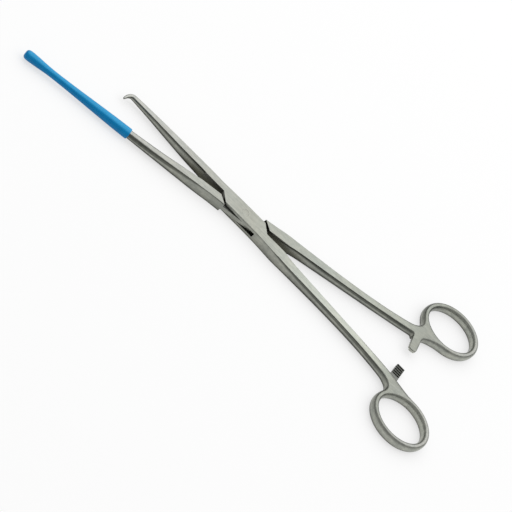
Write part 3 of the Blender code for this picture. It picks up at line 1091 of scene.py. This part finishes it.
@dataclass
class Pin:
    """The pivot pin, ground flush with the lock's faces so that only a hairline shows."""

    radius: float = 0.002027
    height: float = 0.0066
    chamfer: float = 0.000004
    chamfer_from: float = math.radians(60.0)

    def build(self, finish: bpy.types.Material) -> bpy.types.Object:
        """Turn the pin, break its two edges and dress it.

        Args:
            finish: The pin's finish.

        Returns:
            The pin, on the pivot axis.
        """
        pin = disc("rivet", self.radius, 0.0, self.height)
        edge = pin.modifiers.new("Edge", "BEVEL")
        edge.width = self.chamfer
        edge.segments = 2
        edge.limit_method = "ANGLE"
        edge.angle_limit = self.chamfer_from
        bpy.ops.object.modifier_apply(modifier=edge.name)
        bpy.ops.object.shade_smooth_by_angle(angle=SHARP_FROM)
        dress(pin, finish)
        return pin


class Rise(Enum):
    """How a mask goes from 0 to 1 between two marks."""

    EVEN = "LINEAR"
    SMOOTH = "SMOOTHSTEP"


class Ramp(Enum):
    """How a colour ramp passes from stop to stop."""

    EASED = "EASE"
    FLOWING = "B_SPLINE"


class NodeSheet:
    """Lays out the nodes of one material or group, each a step further right."""

    LEFT = -1200
    DOWN = -40
    STEP = 190
    SHADER_AT = 2600
    OUTPUT_AT = 2900

    def __init__(self, tree: bpy.types.NodeTree) -> None:
        """Note the tree that the nodes go into."""
        self.tree = tree
        self.right = self.LEFT

    def add(self, kind: str, label: str = "", **settings: object) -> bpy.types.Node:
        """Add a node.

        Args:
            kind: The node's type, without its first word.
            label: What it does here, shown on the node.
            settings: Its own properties, by name.

        Returns:
            The node.
        """
        node = self.tree.nodes.new("ShaderNode" + kind)
        node.label = label
        node.location = (self.right, self.DOWN)
        self.right += self.STEP
        for name, value in settings.items():
            setattr(node, name, value)
        return node

    def feed(self, node: bpy.types.Node, **sources: object) -> bpy.types.Node:
        """Set a node's inputs, each to a value or to the socket that it is linked from.

        Args:
            node: The node whose inputs are set.
            sources: Inputs by name, with an underscore for a space and a number for an input's place.

        Returns:
            The node.
        """
        for name, source in sources.items():
            key = int(name[1:]) if name[0] == "n" and name[1:].isdigit() else name.replace("_", " ")
            socket = node.inputs[key]
            if isinstance(source, bpy.types.NodeSocket):
                self.tree.links.new(source, socket)
            else:
                socket.default_value = source
        return node

    def maths(self, operation: str, first: object, second: object = 0.0) -> bpy.types.NodeSocket:
        """Add a Math node on two values.

        Args:
            operation: What the node does.
            first: A number or a socket.
            second: A number or a socket.

        Returns:
            The node's result.
        """
        node = self.feed(self.add("Math", operation=operation), n0=first, n1=second)
        return node.outputs["Value"]

    def noise(self, coordinates: bpy.types.NodeSocket, scale: object, detail: float) -> bpy.types.NodeSocket:
        """Add a noise pattern.

        Args:
            coordinates: Where the pattern is read.
            scale: Features to the metre, a number or a socket.
            detail: How many finer layers it has.

        Returns:
            The pattern's value, about 0.5 in the middle.
        """
        node = self.feed(self.add("TexNoise"), Vector=coordinates, Scale=scale, Detail=detail)
        return node.outputs["Fac"]

    def weigh(self, first: object, second: object, share: float) -> bpy.types.NodeSocket:
        """Add two values, the first by its share and the second by the rest.

        Args:
            first: A number or a socket.
            second: A number or a socket.
            share: The first value's share.

        Returns:
            The sum.
        """
        one, other = self.maths("MULTIPLY", first, share), self.maths("MULTIPLY", second, 1 - share)
        return self.maths("ADD", one, other)

    def blend(self, share: object, first: object, second: object, mode: str = "MIX") -> bpy.types.NodeSocket:
        """Mix two colours.

        Args:
            share: How much of the second colour, a number or a socket.
            first: A colour or a socket.
            second: A colour or a socket.
            mode: How the two are mixed.

        Returns:
            The mixed colour.
        """
        first, second = ((*c, 1.0) if isinstance(c, tuple) else c for c in (first, second))
        node = self.add("Mix", data_type="RGBA", blend_type=mode)
        self.feed(node, n0=share, n6=first, n7=second)
        return node.outputs[2]

    def tint(self, base: object, by: object) -> bpy.types.NodeSocket:
        """Multiply two colours."""
        return self.blend(1.0, base, by, "MULTIPLY")

    def remap(self, value: bpy.types.NodeSocket, low: float, high: float) -> bpy.types.NodeSocket:
        """Spread a pattern's value from 0..1 to another range.

        Args:
            value: The value to spread.
            low: What 0 becomes.
            high: What 1 becomes.

        Returns:
            The spread value.
        """
        node = self.feed(self.add("MapRange"), Value=value, To_Min=low, To_Max=high)
        return node.outputs["Result"]

    def rise(self, value: object, low: object, high: object, way: Rise = Rise.SMOOTH) -> bpy.types.NodeSocket:
        """Tell where a value stands between two marks.

        Args:
            value: The value, a number or a socket.
            low: The mark that gives 0.
            high: The mark that gives 1.
            way: How it goes from one to the other.

        Returns:
            The share, from 0 to 1.
        """
        node = self.add("MapRange", interpolation_type=way.value)
        self.feed(node, Value=value, From_Min=low, From_Max=high)
        return node.outputs["Result"]

    def axis(self, output: str, axis: str) -> bpy.types.NodeSocket:
        """Read one axis of a texture coordinate.

        Args:
            output: Which coordinate.
            axis: X, Y or Z.

        Returns:
            The axis's value.
        """
        coordinate = self.add("TexCoord").outputs[output]
        return self.feed(self.add("SeparateXYZ"), Vector=coordinate).outputs[axis]

    def ramp(self, value: bpy.types.NodeSocket, way: Ramp, stops: Iterable[Stop]) -> bpy.types.NodeSocket:
        """Colour a value through a ramp.

        Args:
            value: The value, from 0 to 1.
            way: How the ramp passes from stop to stop.
            stops: Its places and colours, in order.

        Returns:
            The colour.
        """
        node = self.feed(self.add("ValToRGB"), Fac=value)
        band = node.color_ramp
        band.interpolation = way.value
        for index, (place, colour) in enumerate(stops):
            stop = band.elements[index] if index < 2 else band.elements.new(place)
            stop.position = place
            stop.color = (*colour, 1.0)
        return node.outputs["Color"]


class Group(Enum):
    """The shared effects, by the name of their node group."""

    WORN_EDGES = "worn_edges"
    SATIN_GRAIN = "satin_grain"
    HANDLING_MARKS = "handling_marks"
    SHADED_RECESS = "shaded_recess"


@dataclass(frozen=True)
class Recess:
    """Painted shade where other metal stands close by: how far off other metal counts, how open it is there,
    and the shade's tint.
    """

    reach: float
    closed: float
    open: float
    tint: Colour


class ShaderKit:
    """The node groups that the finishes share, each built once."""

    LEFT, RIGHT = -1500, 1600
    COARSE, FINE = 2.0, 3.0
    BREAKS: Span = (-0.3, 1.6)
    STROKE_TONE = 0.6
    STROKE_HEIGHT = 0.35
    WIDE_SHARE = 0.6
    SMALLER = 5.3
    EDGE_SAMPLES = 6
    RECESS_SAMPLES = 8

    def __init__(self) -> None:
        """Build the groups."""
        self._groups = {
            Group.WORN_EDGES: self._worn_edges(),
            Group.SATIN_GRAIN: self._satin_grain(),
            Group.HANDLING_MARKS: self._handling_marks(),
            Group.SHADED_RECESS: self._shaded_recess(),
        }

    def place(self, sheet: NodeSheet, group: Group, **values: object) -> bpy.types.Node:
        """Place a group in a material with its own values.

        Args:
            sheet: The material's nodes.
            group: Which group.
            values: The group's inputs by name.

        Returns:
            The group's node.
        """
        node = sheet.add("Group", label=group.value)
        node.node_tree = self._groups[group]
        return sheet.feed(node, **values)

    def shade(self, sheet: NodeSheet, base: bpy.types.NodeSocket, recess: Recess) -> bpy.types.NodeSocket:
        """Paint shade into a colour where other metal stands close by.

        Args:
            sheet: The material's nodes.
            base: The colour.
            recess: Where the painted shade falls, and its tint there.

        Returns:
            The colour with painted shade.
        """
        around = {"Reach": recess.reach, "Closed": recess.closed, "Open": recess.open}
        seen = self.place(sheet, Group.SHADED_RECESS, **around)
        return sheet.blend(seen.outputs["Open"], sheet.tint(base, recess.tint), base)

    def _open(
        self, group: Group, inputs: dict[str, str], outputs: dict[str, str]
    ) -> tuple[NodeSheet, bpy.types.Node, bpy.types.Node]:
        """Start a group with its sockets.

        Args:
            group: Which group.
            inputs: Its inputs' types, by name.
            outputs: Its outputs' types, by name.

        Returns:
            Its sheet, its input node and its output node.
        """
        tree = bpy.data.node_groups.new(group.value, "ShaderNodeTree")
        for name, kind in inputs.items():
            tree.interface.new_socket(name, in_out="INPUT", socket_type="NodeSocket" + kind)
        for name, kind in outputs.items():
            tree.interface.new_socket(name, in_out="OUTPUT", socket_type="NodeSocket" + kind)
        into, out = tree.nodes.new("NodeGroupInput"), tree.nodes.new("NodeGroupOutput")
        into.location, out.location = (self.LEFT, 0), (self.RIGHT, 0)
        return NodeSheet(tree), into, out

    def _worn_edges(self) -> bpy.types.NodeTree:
        """Rounded normals at crisp edges, and a broken mask of where they are rubbed bright.

        Returns:
            The group.
        """
        inputs = {"Radius": "Float", "Gain": "Float", "Breaks": "Float"}
        sheet, into, out = self._open(Group.WORN_EDGES, inputs, {"Edge": "Float", "Normal": "Vector"})
        bevel = sheet.add("Bevel", samples=self.EDGE_SAMPLES)
        rounded = sheet.feed(bevel, Radius=into.outputs["Radius"]).outputs["Normal"]
        flat = sheet.add("NewGeometry").outputs["Normal"]
        dot = sheet.feed(sheet.add("VectorMath", operation="DOT_PRODUCT"), n0=rounded, n1=flat)
        turned = sheet.maths("SUBTRACT", 1.0, dot.outputs["Value"])
        raised = sheet.maths("MULTIPLY", turned, into.outputs["Gain"])
        place = sheet.add("TexCoord").outputs["Object"]
        breaks = sheet.remap(sheet.noise(place, into.outputs["Breaks"], self.FINE), *self.BREAKS)
        worn = sheet.maths("MULTIPLY", raised, breaks)
        edge = sheet.feed(sheet.add("Clamp"), Value=worn).outputs["Result"]
        sheet.feed(out, Edge=edge, Normal=rounded)
        return sheet.tree

    def _satin_grain(self) -> bpy.types.NodeTree:
        """A fine blasted grain under longer belt strokes that run along the piece.

        Returns:
            The group.
        """
        inputs = {"Turn": "Vector", "Grain": "Float", "Along": "Float", "Across": "Float"}
        sheet, into, out = self._open(Group.SATIN_GRAIN, inputs, {"Tone": "Float", "Height": "Float"})
        place = sheet.add("TexCoord").outputs["Object"]
        across = into.outputs["Across"]
        scale = sheet.feed(sheet.add("CombineXYZ"), X=into.outputs["Along"], Y=across, Z=across)
        mapping = sheet.add("Mapping", label="along the piece")
        sheet.feed(mapping, Vector=place, Rotation=into.outputs["Turn"], Scale=scale.outputs["Vector"])
        strokes = sheet.noise(mapping.outputs["Vector"], 1.0, self.FINE)
        grain = sheet.noise(place, into.outputs["Grain"], self.COARSE)
        tone = sheet.weigh(strokes, grain, self.STROKE_TONE)
        sheet.feed(out, Tone=tone, Height=sheet.weigh(strokes, grain, self.STROKE_HEIGHT))
        return sheet.tree

    def _handling_marks(self) -> bpy.types.NodeTree:
        """Soft cloudy patches, wide and small, as hands and cleaning leave them.

        Returns:
            The group.
        """
        inputs = {"Scale": "Float"}
        sheet, into, out = self._open(Group.HANDLING_MARKS, inputs, {"Tone": "Float", "Gloss": "Float"})
        place = sheet.add("TexCoord").outputs["Object"]
        wide = sheet.noise(place, into.outputs["Scale"], self.COARSE)
        small = sheet.noise(place, sheet.maths("MULTIPLY", into.outputs["Scale"], self.SMALLER), self.FINE)
        sheet.feed(out, Tone=sheet.weigh(wide, small, self.WIDE_SHARE), Gloss=small)
        return sheet.tree

    def _shaded_recess(self) -> bpy.types.NodeTree:
        """Painted shade: how open a surface is where other metal stands close by, from ambient occlusion.

        Returns:
            The group.
        """
        inputs = {"Reach": "Float", "Closed": "Float", "Open": "Float"}
        sheet, into, out = self._open(Group.SHADED_RECESS, inputs, {"Open": "Float"})
        seen = sheet.add("AmbientOcclusion", samples=self.RECESS_SAMPLES)
        sheet.feed(seen, Distance=into.outputs["Reach"])
        sheet.feed(out, Open=sheet.rise(seen.outputs["AO"], into.outputs["Closed"], into.outputs["Open"]))
        return sheet.tree


def new_material(name: str) -> tuple[bpy.types.Material, NodeSheet, bpy.types.Node]:
    """Start a material.

    Args:
        name: Its name.

    Returns:
        The material, the sheet for its nodes and its Principled shader.
    """
    material = bpy.data.materials.new(name)
    material.use_nodes = True
    shader = material.node_tree.nodes["Principled BSDF"]
    shader.location = (NodeSheet.SHADER_AT, 0)
    material.node_tree.nodes["Material Output"].location = (NodeSheet.OUTPUT_AT, 0)
    return material, NodeSheet(material.node_tree), shader


@dataclass(frozen=True)
class Wear:
    """How a finish is rubbed, grained and handled, with its patterns in features to the metre."""

    edge_radius: float
    edge_gain: float
    edge_breaks: float
    grain: float
    along: float
    across: float
    patches: float
    depth: float
    strength: float
    glossier: float = 0.08
    duller: float = 0.08
    edge_polish: float = 0.0


@dataclass(frozen=True)
class Finish:
    """What every finish shares: rubbed edges, a grain along the piece, and a gloss that changes."""

    STREAKS: ClassVar[Span] = (0.55, 1.45)

    name: str
    wear: Wear
    turn: float = 0.0
    worn: Colour = (0.42, 0.43, 0.40)
    roughness: float = 0.42
    metallic: float = 1.0
    specular: float = 0.5

    def make(self, kit: ShaderKit) -> bpy.types.Material:
        """Build the material.

        Args:
            kit: The shared node groups.

        Returns:
            The material, its strokes running along the piece.
        """
        wear = self.wear
        material, sheet, shader = new_material(self.name)
        rubbed = {"Radius": wear.edge_radius, "Gain": wear.edge_gain, "Breaks": wear.edge_breaks}
        edges = kit.place(sheet, Group.WORN_EDGES, **rubbed)
        strokes = {"Grain": wear.grain, "Along": wear.along, "Across": wear.across}
        grain = kit.place(sheet, Group.SATIN_GRAIN, Turn=(0.0, 0.0, self.turn), **strokes)
        marks = kit.place(sheet, Group.HANDLING_MARKS, Scale=wear.patches)
        base = self._colour(kit, sheet, grain.outputs["Tone"], marks)
        base = sheet.blend(edges.outputs["Edge"], base, self.worn)
        gloss = self.roughness - wear.glossier, self.roughness + wear.duller
        polished = sheet.maths("MULTIPLY", edges.outputs["Edge"], wear.edge_polish)
        rough = sheet.maths("SUBTRACT", sheet.remap(marks.outputs["Gloss"], *gloss), polished)
        bump = sheet.add("Bump", label="grain")
        sheet.feed(bump, Distance=wear.depth, Strength=wear.strength, Height=grain.outputs["Height"])
        sheet.feed(bump, Normal=edges.outputs["Normal"])
        sheet.feed(shader, Base_Color=base, Metallic=self.metallic, Roughness=rough)
        sheet.feed(shader, Specular_IOR_Level=self.specular, Normal=bump.outputs["Normal"])
        return material

    def _colour(
        self, kit: ShaderKit, sheet: NodeSheet, grain: bpy.types.NodeSocket, marks: bpy.types.Node
    ) -> bpy.types.NodeSocket:
        """Colour of the finish before its edges are worn. Each finish has its own.

        Args:
            kit: The shared node groups.
            sheet: The material's nodes.
            grain: The grain's tone.
            marks: The handling marks' group.

        Returns:
            The colour.
        """
        raise NotImplementedError


@dataclass(frozen=True)
class SatinSteel(Finish):
    """Satin-finished forging steel with light and shade painted by slope: bright ground faces, a painted dark
    reflection where the corners lean and painted shade on the sides.

    Painted highlight and shade, with some tint, change along the half with the distance from the pivot,
    softer and lighter at the claw's tip and the rings. The shank has its own painted brightness on each half.
    """

    ENDS: ClassVar[Span] = (-0.095, 0.150)
    SHANK: ClassVar[Span] = (0.030, 0.110)
    BRIGHTEST: ClassVar[float] = 1.3
    CRISP: ClassVar[Marks] = (0.02, 0.15, 0.72)
    SOFT: ClassVar[Marks] = (0.10, 0.45, 0.70)
    LEVEL: ClassVar[Span] = (0.74, 0.90)
    CLOUDS: ClassVar[Span] = (0.58, 1.42)
    MOTTLE: ClassVar[Span] = (0.80, 1.20)

    wear: Wear = Wear(
        edge_radius=0.00016, edge_gain=5.0, edge_breaks=420.0, grain=5200.0, along=130.0, across=1500.0,
        patches=95.0, depth=0.000012, strength=0.6, glossier=0.10, duller=0.10, edge_polish=0.10,
    )
    worn: Colour = (0.70, 0.71, 0.68)
    roughness: float = 0.34
    # Painted brightness of the shank, its own on each half.
    shank: float = 1.0
    # Painted light and shade by slope: face is the ground faces' colour, the dark band where the surface
    # leans is a painted reflection, and the sides carry painted shade, lighter on the rings.
    face: Colour = (0.385, 0.400, 0.372)
    painted_dark_reflection: Colour = (0.088, 0.092, 0.082)
    soft_painted_band: Colour = (0.300, 0.308, 0.284)
    side: Colour = (0.290, 0.298, 0.274)
    ring_side_painted_shade: Colour = (0.375, 0.385, 0.354)
    warm: Colour = (1.05, 1.01, 0.93)
    cool: Colour = (0.95, 1.00, 1.00)
    # Painted shade where other metal stands close by.
    recess: Recess = Recess(reach=0.010, closed=0.32, open=0.66, tint=(0.22, 0.21, 0.17))
    # Painted highlight and shade along the half, with some tint: brighter on the shanks near the rings,
    # darker at the web.
    painted_light_and_tint: tuple[Stop, ...] = (
        (-0.095, (1.06, 1.03, 1.08)),
        (-0.060, (0.96, 0.93, 0.97)),
        (-0.018, (0.84, 0.83, 0.84)),
        (0.004, (0.83, 0.80, 0.78)),
        (0.020, (0.82, 0.82, 0.82)),
        (0.050, (0.92, 0.92, 0.92)),
        (0.095, (1.03, 1.02, 1.00)),
        (0.113, (0.58, 0.58, 0.57)),
        (0.126, (0.85, 0.83, 0.85)),
        (0.148, (0.93, 0.90, 0.94)),
    )
    soft_painted_places: tuple[Stop, ...] = (
        (-0.088, (1.0, 1.0, 1.0)),
        (-0.080, (0.0, 0.0, 0.0)),
        (0.100, (0.0, 0.0, 0.0)),
        (0.116, (1.0, 1.0, 1.0)),
    )

    def _colour(
        self, kit: ShaderKit, sheet: NodeSheet, grain: bpy.types.NodeSocket, marks: bpy.types.Node
    ) -> bpy.types.NodeSocket:
        """Painted light and shade by slope and place, warm and cool in patches, streaked, mottled, and
        painted shade in recesses.

        Args:
            kit: The shared node groups.
            sheet: The material's nodes.
            grain: The grain's tone.
            marks: The handling marks' group.

        Returns:
            The colour.
        """
        cloud = marks.outputs["Tone"]
        base = sheet.tint(self._by_slope(sheet, cloud), sheet.blend(cloud, self.cool, self.warm))
        base = sheet.tint(base, sheet.remap(grain, *self.STREAKS))
        base = sheet.tint(base, sheet.remap(marks.outputs["Gloss"], *self.MOTTLE))
        return kit.shade(sheet, base, self.recess)

    def _by_slope(self, sheet: NodeSheet, cloud: bpy.types.NodeSocket) -> bpy.types.NodeSocket:
        """Painted light and shade by how far the surface leans: a crisp painted dark band and darker sides on
        jaws and shanks, softer and lighter at the claw's tip and the rings.

        Args:
            sheet: The material's nodes.
            cloud: The patches that make edges uneven.

        Returns:
            The colour.
        """
        level = sheet.maths("ABSOLUTE", sheet.axis("Normal", "Z"))
        along = sheet.rise(sheet.axis("Object", "X"), *self.ENDS, Rise.EVEN)
        # Painted highlight and shade along the half, with some tint.
        painted_light_and_tint = sheet.ramp(along, Ramp.FLOWING, self._stops(self.painted_light_and_tint, self.shank, self.BRIGHTEST))
        face = sheet.tint(tuple(part * self.BRIGHTEST for part in self.face), painted_light_and_tint)
        # Painted shade and painted reflection by slope, softer and lighter at the claw's tip and the rings.
        crisp = sheet.ramp(level, Ramp.EASED, zip(self.CRISP, (self.side, self.painted_dark_reflection, self.painted_dark_reflection)))
        soft = sheet.ramp(level, Ramp.EASED, zip(self.SOFT, (self.ring_side_painted_shade, self.soft_painted_band, self.soft_painted_band)))
        edge = sheet.blend(sheet.ramp(along, Ramp.FLOWING, self._stops(self.soft_painted_places)), crisp, soft)
        edge = sheet.tint(edge, sheet.remap(cloud, *self.CLOUDS))
        return sheet.blend(sheet.rise(level, *self.LEVEL), edge, face)

    def _stops(self, tones: Sequence[Stop], shank: float = 1.0, brightest: float = 1.0) -> Iterator[Stop]:
        """Ramp stops for tones along the half, held as shares of the brightest, as a ramp ends at 1.

        Args:
            tones: Tones by distance from the pivot.
            shank: The shank's own brightness.
            brightest: The tone that the ramp's 1 stands for.

        Returns:
            Each stop's place on the ramp and its tone.
        """
        low, high = self.ENDS
        for x, tone in tones:
            share = (shank if self.SHANK[0] < x < self.SHANK[1] else 1.0) / brightest
            yield (x - low) / (high - low), tuple(part * share for part in tone)


@dataclass(frozen=True)
class MilledSteel(Finish):
    """What the cutters leave: a darker, flat-looking surface with fine straight tool marks."""

    wear: Wear = Wear(
        edge_radius=0.00010, edge_gain=4.0, edge_breaks=600.0, grain=9000.0, along=220.0, across=5200.0,
        patches=160.0, depth=0.000015, strength=0.7,
    )
    colour: Colour = (0.20, 0.205, 0.19)
    # Painted shade where other metal stands close by.
    recess: Recess = Recess(reach=0.011, closed=0.18, open=0.66, tint=(0.30, 0.29, 0.22))

    def _colour(
        self, kit: ShaderKit, sheet: NodeSheet, grain: bpy.types.NodeSocket, marks: bpy.types.Node
    ) -> bpy.types.NodeSocket:
        """One colour, streaked by the cutters, with painted shade in recesses.

        Args:
            kit: The shared node groups.
            sheet: The material's nodes.
            grain: The grain's tone.
            marks: The handling marks' group, not used here.

        Returns:
            The colour.
        """
        return kit.shade(sheet, sheet.tint(self.colour, sheet.remap(grain, *self.STREAKS)), self.recess)


@dataclass(frozen=True)
class MouldedPlastic(Finish):
    """Blue insulating plastic: cloudy, with a painted highlight that makes its top paler, a satin gloss and
    orange peel.
    """

    CLOUDS: ClassVar[Span] = (-0.6, 1.6)
    TOP: ClassVar[Span] = (0.72, 1.0)
    STREAKS: ClassVar[Span] = (0.85, 1.15)

    wear: Wear = Wear(
        edge_radius=0.00012, edge_gain=3.0, edge_breaks=500.0, grain=2600.0, along=60.0, across=700.0,
        patches=70.0, depth=0.00002, strength=0.5, duller=0.10,
    )
    worn: Colour = (0.06, 0.42, 0.78)
    roughness: float = 0.24
    metallic: float = 0.0
    specular: float = 0.17
    colour: Colour = (0.0, 0.225, 0.500)
    deep: Colour = (0.0, 0.150, 0.375)
    painted_highlight_blue: Colour = (0.030, 0.335, 0.640)

    def _colour(
        self, kit: ShaderKit, sheet: NodeSheet, grain: bpy.types.NodeSocket, marks: bpy.types.Node
    ) -> bpy.types.NodeSocket:
        """Two blues in clouds, with a painted highlight on top, over the skin's faint grain.

        Args:
            kit: The shared node groups, not used here.
            sheet: The material's nodes.
            grain: The grain's tone.
            marks: The handling marks' group.

        Returns:
            The colour.
        """
        base = sheet.blend(sheet.remap(marks.outputs["Tone"], *self.CLOUDS), self.deep, self.colour)
        # Painted highlight: paler blue where the surface faces up.
        base = sheet.blend(sheet.rise(sheet.axis("Normal", "Z"), *self.TOP), base, self.painted_highlight_blue)
        return sheet.tint(base, sheet.remap(grain, *self.STREAKS))


@dataclass
class Studio:
    """The camera, one large soft lamp, the pale floor and the dim room."""

    aim: Point = (0.0186, -0.0132, 0.0033)
    azimuth: float = math.radians(6.9)
    elevation: float = math.radians(46.0)
    roll: float = math.radians(50.0)
    distance: float = 1.3
    focal_length: float = 182.8
    sensor_width: float = 36.0
    nearest: float = 0.01
    floor_size: float = 8.0
    floor_gap: float = 0.00005
    floor_colour: Colour = (0.97, 0.97, 0.97)
    floor_roughness: float = 0.95
    floor_glow: float = 0.65
    lamp_across: float = 6.0
    lamp_deep: float = 5.0
    lamp_back: float = 2.2
    lamp_height: float = 2.0
    lamp_power: float = 98.0
    room_strength: float = 0.5

    def build(self) -> None:
        """Set up everything around the object."""
        self._camera()
        self._floor()
        self._lamp()
        self._room()

    def _back(self) -> Vector:
        """Level direction away from the camera."""
        return Vector((math.sin(self.azimuth), math.cos(self.azimuth), 0))

    def _camera(self) -> None:
        """Place the camera at the photograph's viewing angle."""
        right = Vector((math.cos(self.azimuth), -math.sin(self.azimuth), 0))
        upright = Vector((0, 0, 1))
        look = self._back() * math.cos(self.elevation) - upright * math.sin(self.elevation)
        up = self._back() * math.sin(self.elevation) + upright * math.cos(self.elevation)
        across = right * math.cos(self.roll) + up * math.sin(self.roll)
        above = up * math.cos(self.roll) - right * math.sin(self.roll)
        place = Matrix((across, above, -look)).transposed().to_4x4()
        place.translation = Vector(self.aim) - look * self.distance
        data = bpy.data.cameras.new("camera")
        data.lens = self.focal_length
        data.sensor_width = self.sensor_width
        data.clip_start = self.nearest
        camera = bpy.data.objects.new("camera", data)
        camera.matrix_world = place
        bpy.context.scene.collection.objects.link(camera)
        bpy.context.scene.camera = camera

    def _floor(self) -> None:
        """Lay the pale floor just under the lock, part of it glowing white where it is looked at."""
        deselect()
        bpy.ops.mesh.primitive_plane_add(size=self.floor_size, location=(0, 0, -self.floor_gap))
        floor = adopt("floor")
        material, sheet, shader = new_material("floor_white")
        sheet.feed(shader, Base_Color=(*self.floor_colour, 1.0), Roughness=self.floor_roughness)
        sheet.feed(shader, Specular_IOR_Level=0.0)
        rays = sheet.add("LightPath").outputs
        mirrored = sheet.maths("MAXIMUM", rays["Is Glossy Ray"], rays["Is Transmission Ray"])
        seen = sheet.maths("MAXIMUM", rays["Is Camera Ray"], mirrored)
        glow = sheet.feed(sheet.add("Emission", label="white"), Strength=1.0)
        share = sheet.maths("MULTIPLY", seen, self.floor_glow)
        mixed = sheet.add("MixShader", label="white, with the shadow left in it")
        sheet.feed(mixed, n0=share, n1=shader.outputs["BSDF"], n2=glow.outputs["Emission"])
        sheet.feed(material.node_tree.nodes["Material Output"], Surface=mixed.outputs["Shader"])
        floor.data.materials.append(material)

    def _lamp(self) -> None:
        """Hang the soft lamp level, over the far side, so that the near sides stay in soft shade."""
        data = bpy.data.lights.new("soft_lamp", "AREA")
        data.shape = "RECTANGLE"
        data.size = self.lamp_across
        data.size_y = self.lamp_deep
        data.energy = self.lamp_power
        lamp = bpy.data.objects.new("soft_lamp", data)
        lamp.location = self._back() * self.lamp_back + Vector((0, 0, self.lamp_height))
        lamp.rotation_euler = (0, 0, -self.azimuth)
        bpy.context.scene.collection.objects.link(lamp)

    def _room(self) -> None:
        """Light the rest of the room dimly and evenly."""
        world = bpy.data.worlds.new("room")
        world.use_nodes = True
        background = world.node_tree.nodes["Background"]
        NodeSheet(world.node_tree).feed(background, Color=(1.0, 1.0, 1.0, 1.0), Strength=self.room_strength)
        bpy.context.scene.world = world
        bpy.context.scene.view_settings.view_transform = "Standard"


def tie(piece: bpy.types.Object, body: str, node: str) -> None:
    """Tie a finished piece to its body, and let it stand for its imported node.

    Args:
        piece: The finished piece.
        body: The body that it moves with.
        node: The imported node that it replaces.
    """
    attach(piece, body)
    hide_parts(node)
    LOG.info("%s: %d faces, %d finishes", piece.name, len(piece.data.polygons), len(piece.data.materials))


def main() -> None:
    """Build every piece in order, dress it and tie it to its body."""
    logging.basicConfig(level=logging.INFO, format="%(message)s")
    kit = ShaderKit()
    teeth = MilledSteel("milled_teeth", turn=math.pi / 2, colour=(0.250, 0.258, 0.240)).make(kit)
    # Each half's shank gets its own painted brightness.
    hook_satin = SatinSteel("satin_steel", shank=1.13).make(kit)
    hook_finishes = Finishes(hook_satin, MilledSteel("milled_steel").make(kit), teeth)
    probe_satin = SatinSteel("satin_steel_probe", turn=-OPENING, shank=0.90).make(kit)
    probe_milled = MilledSteel("milled_steel_probe", turn=-OPENING).make(kit)
    probe_finishes = Finishes(probe_satin, probe_milled, teeth)
    plastic = MouldedPlastic("blue_plastic", turn=-OPENING).make(kit)

    hook = HookHalf("hook_forging", hook_finishes)
    tie(hook.build(), "hook_half", "hook_arm")
    tie(Pin().build(hook_satin), "hook_half", "pivot_pin")

    probe = ProbeHalf("probe_forging", probe_finishes)
    tie(probe.build(), "probe_half", "probe_arm")
    tie(probe.sleeve.build(plastic), "probe_half", "probe_sleeve")

    Studio().build()


if __name__ == "__main__":
    main()
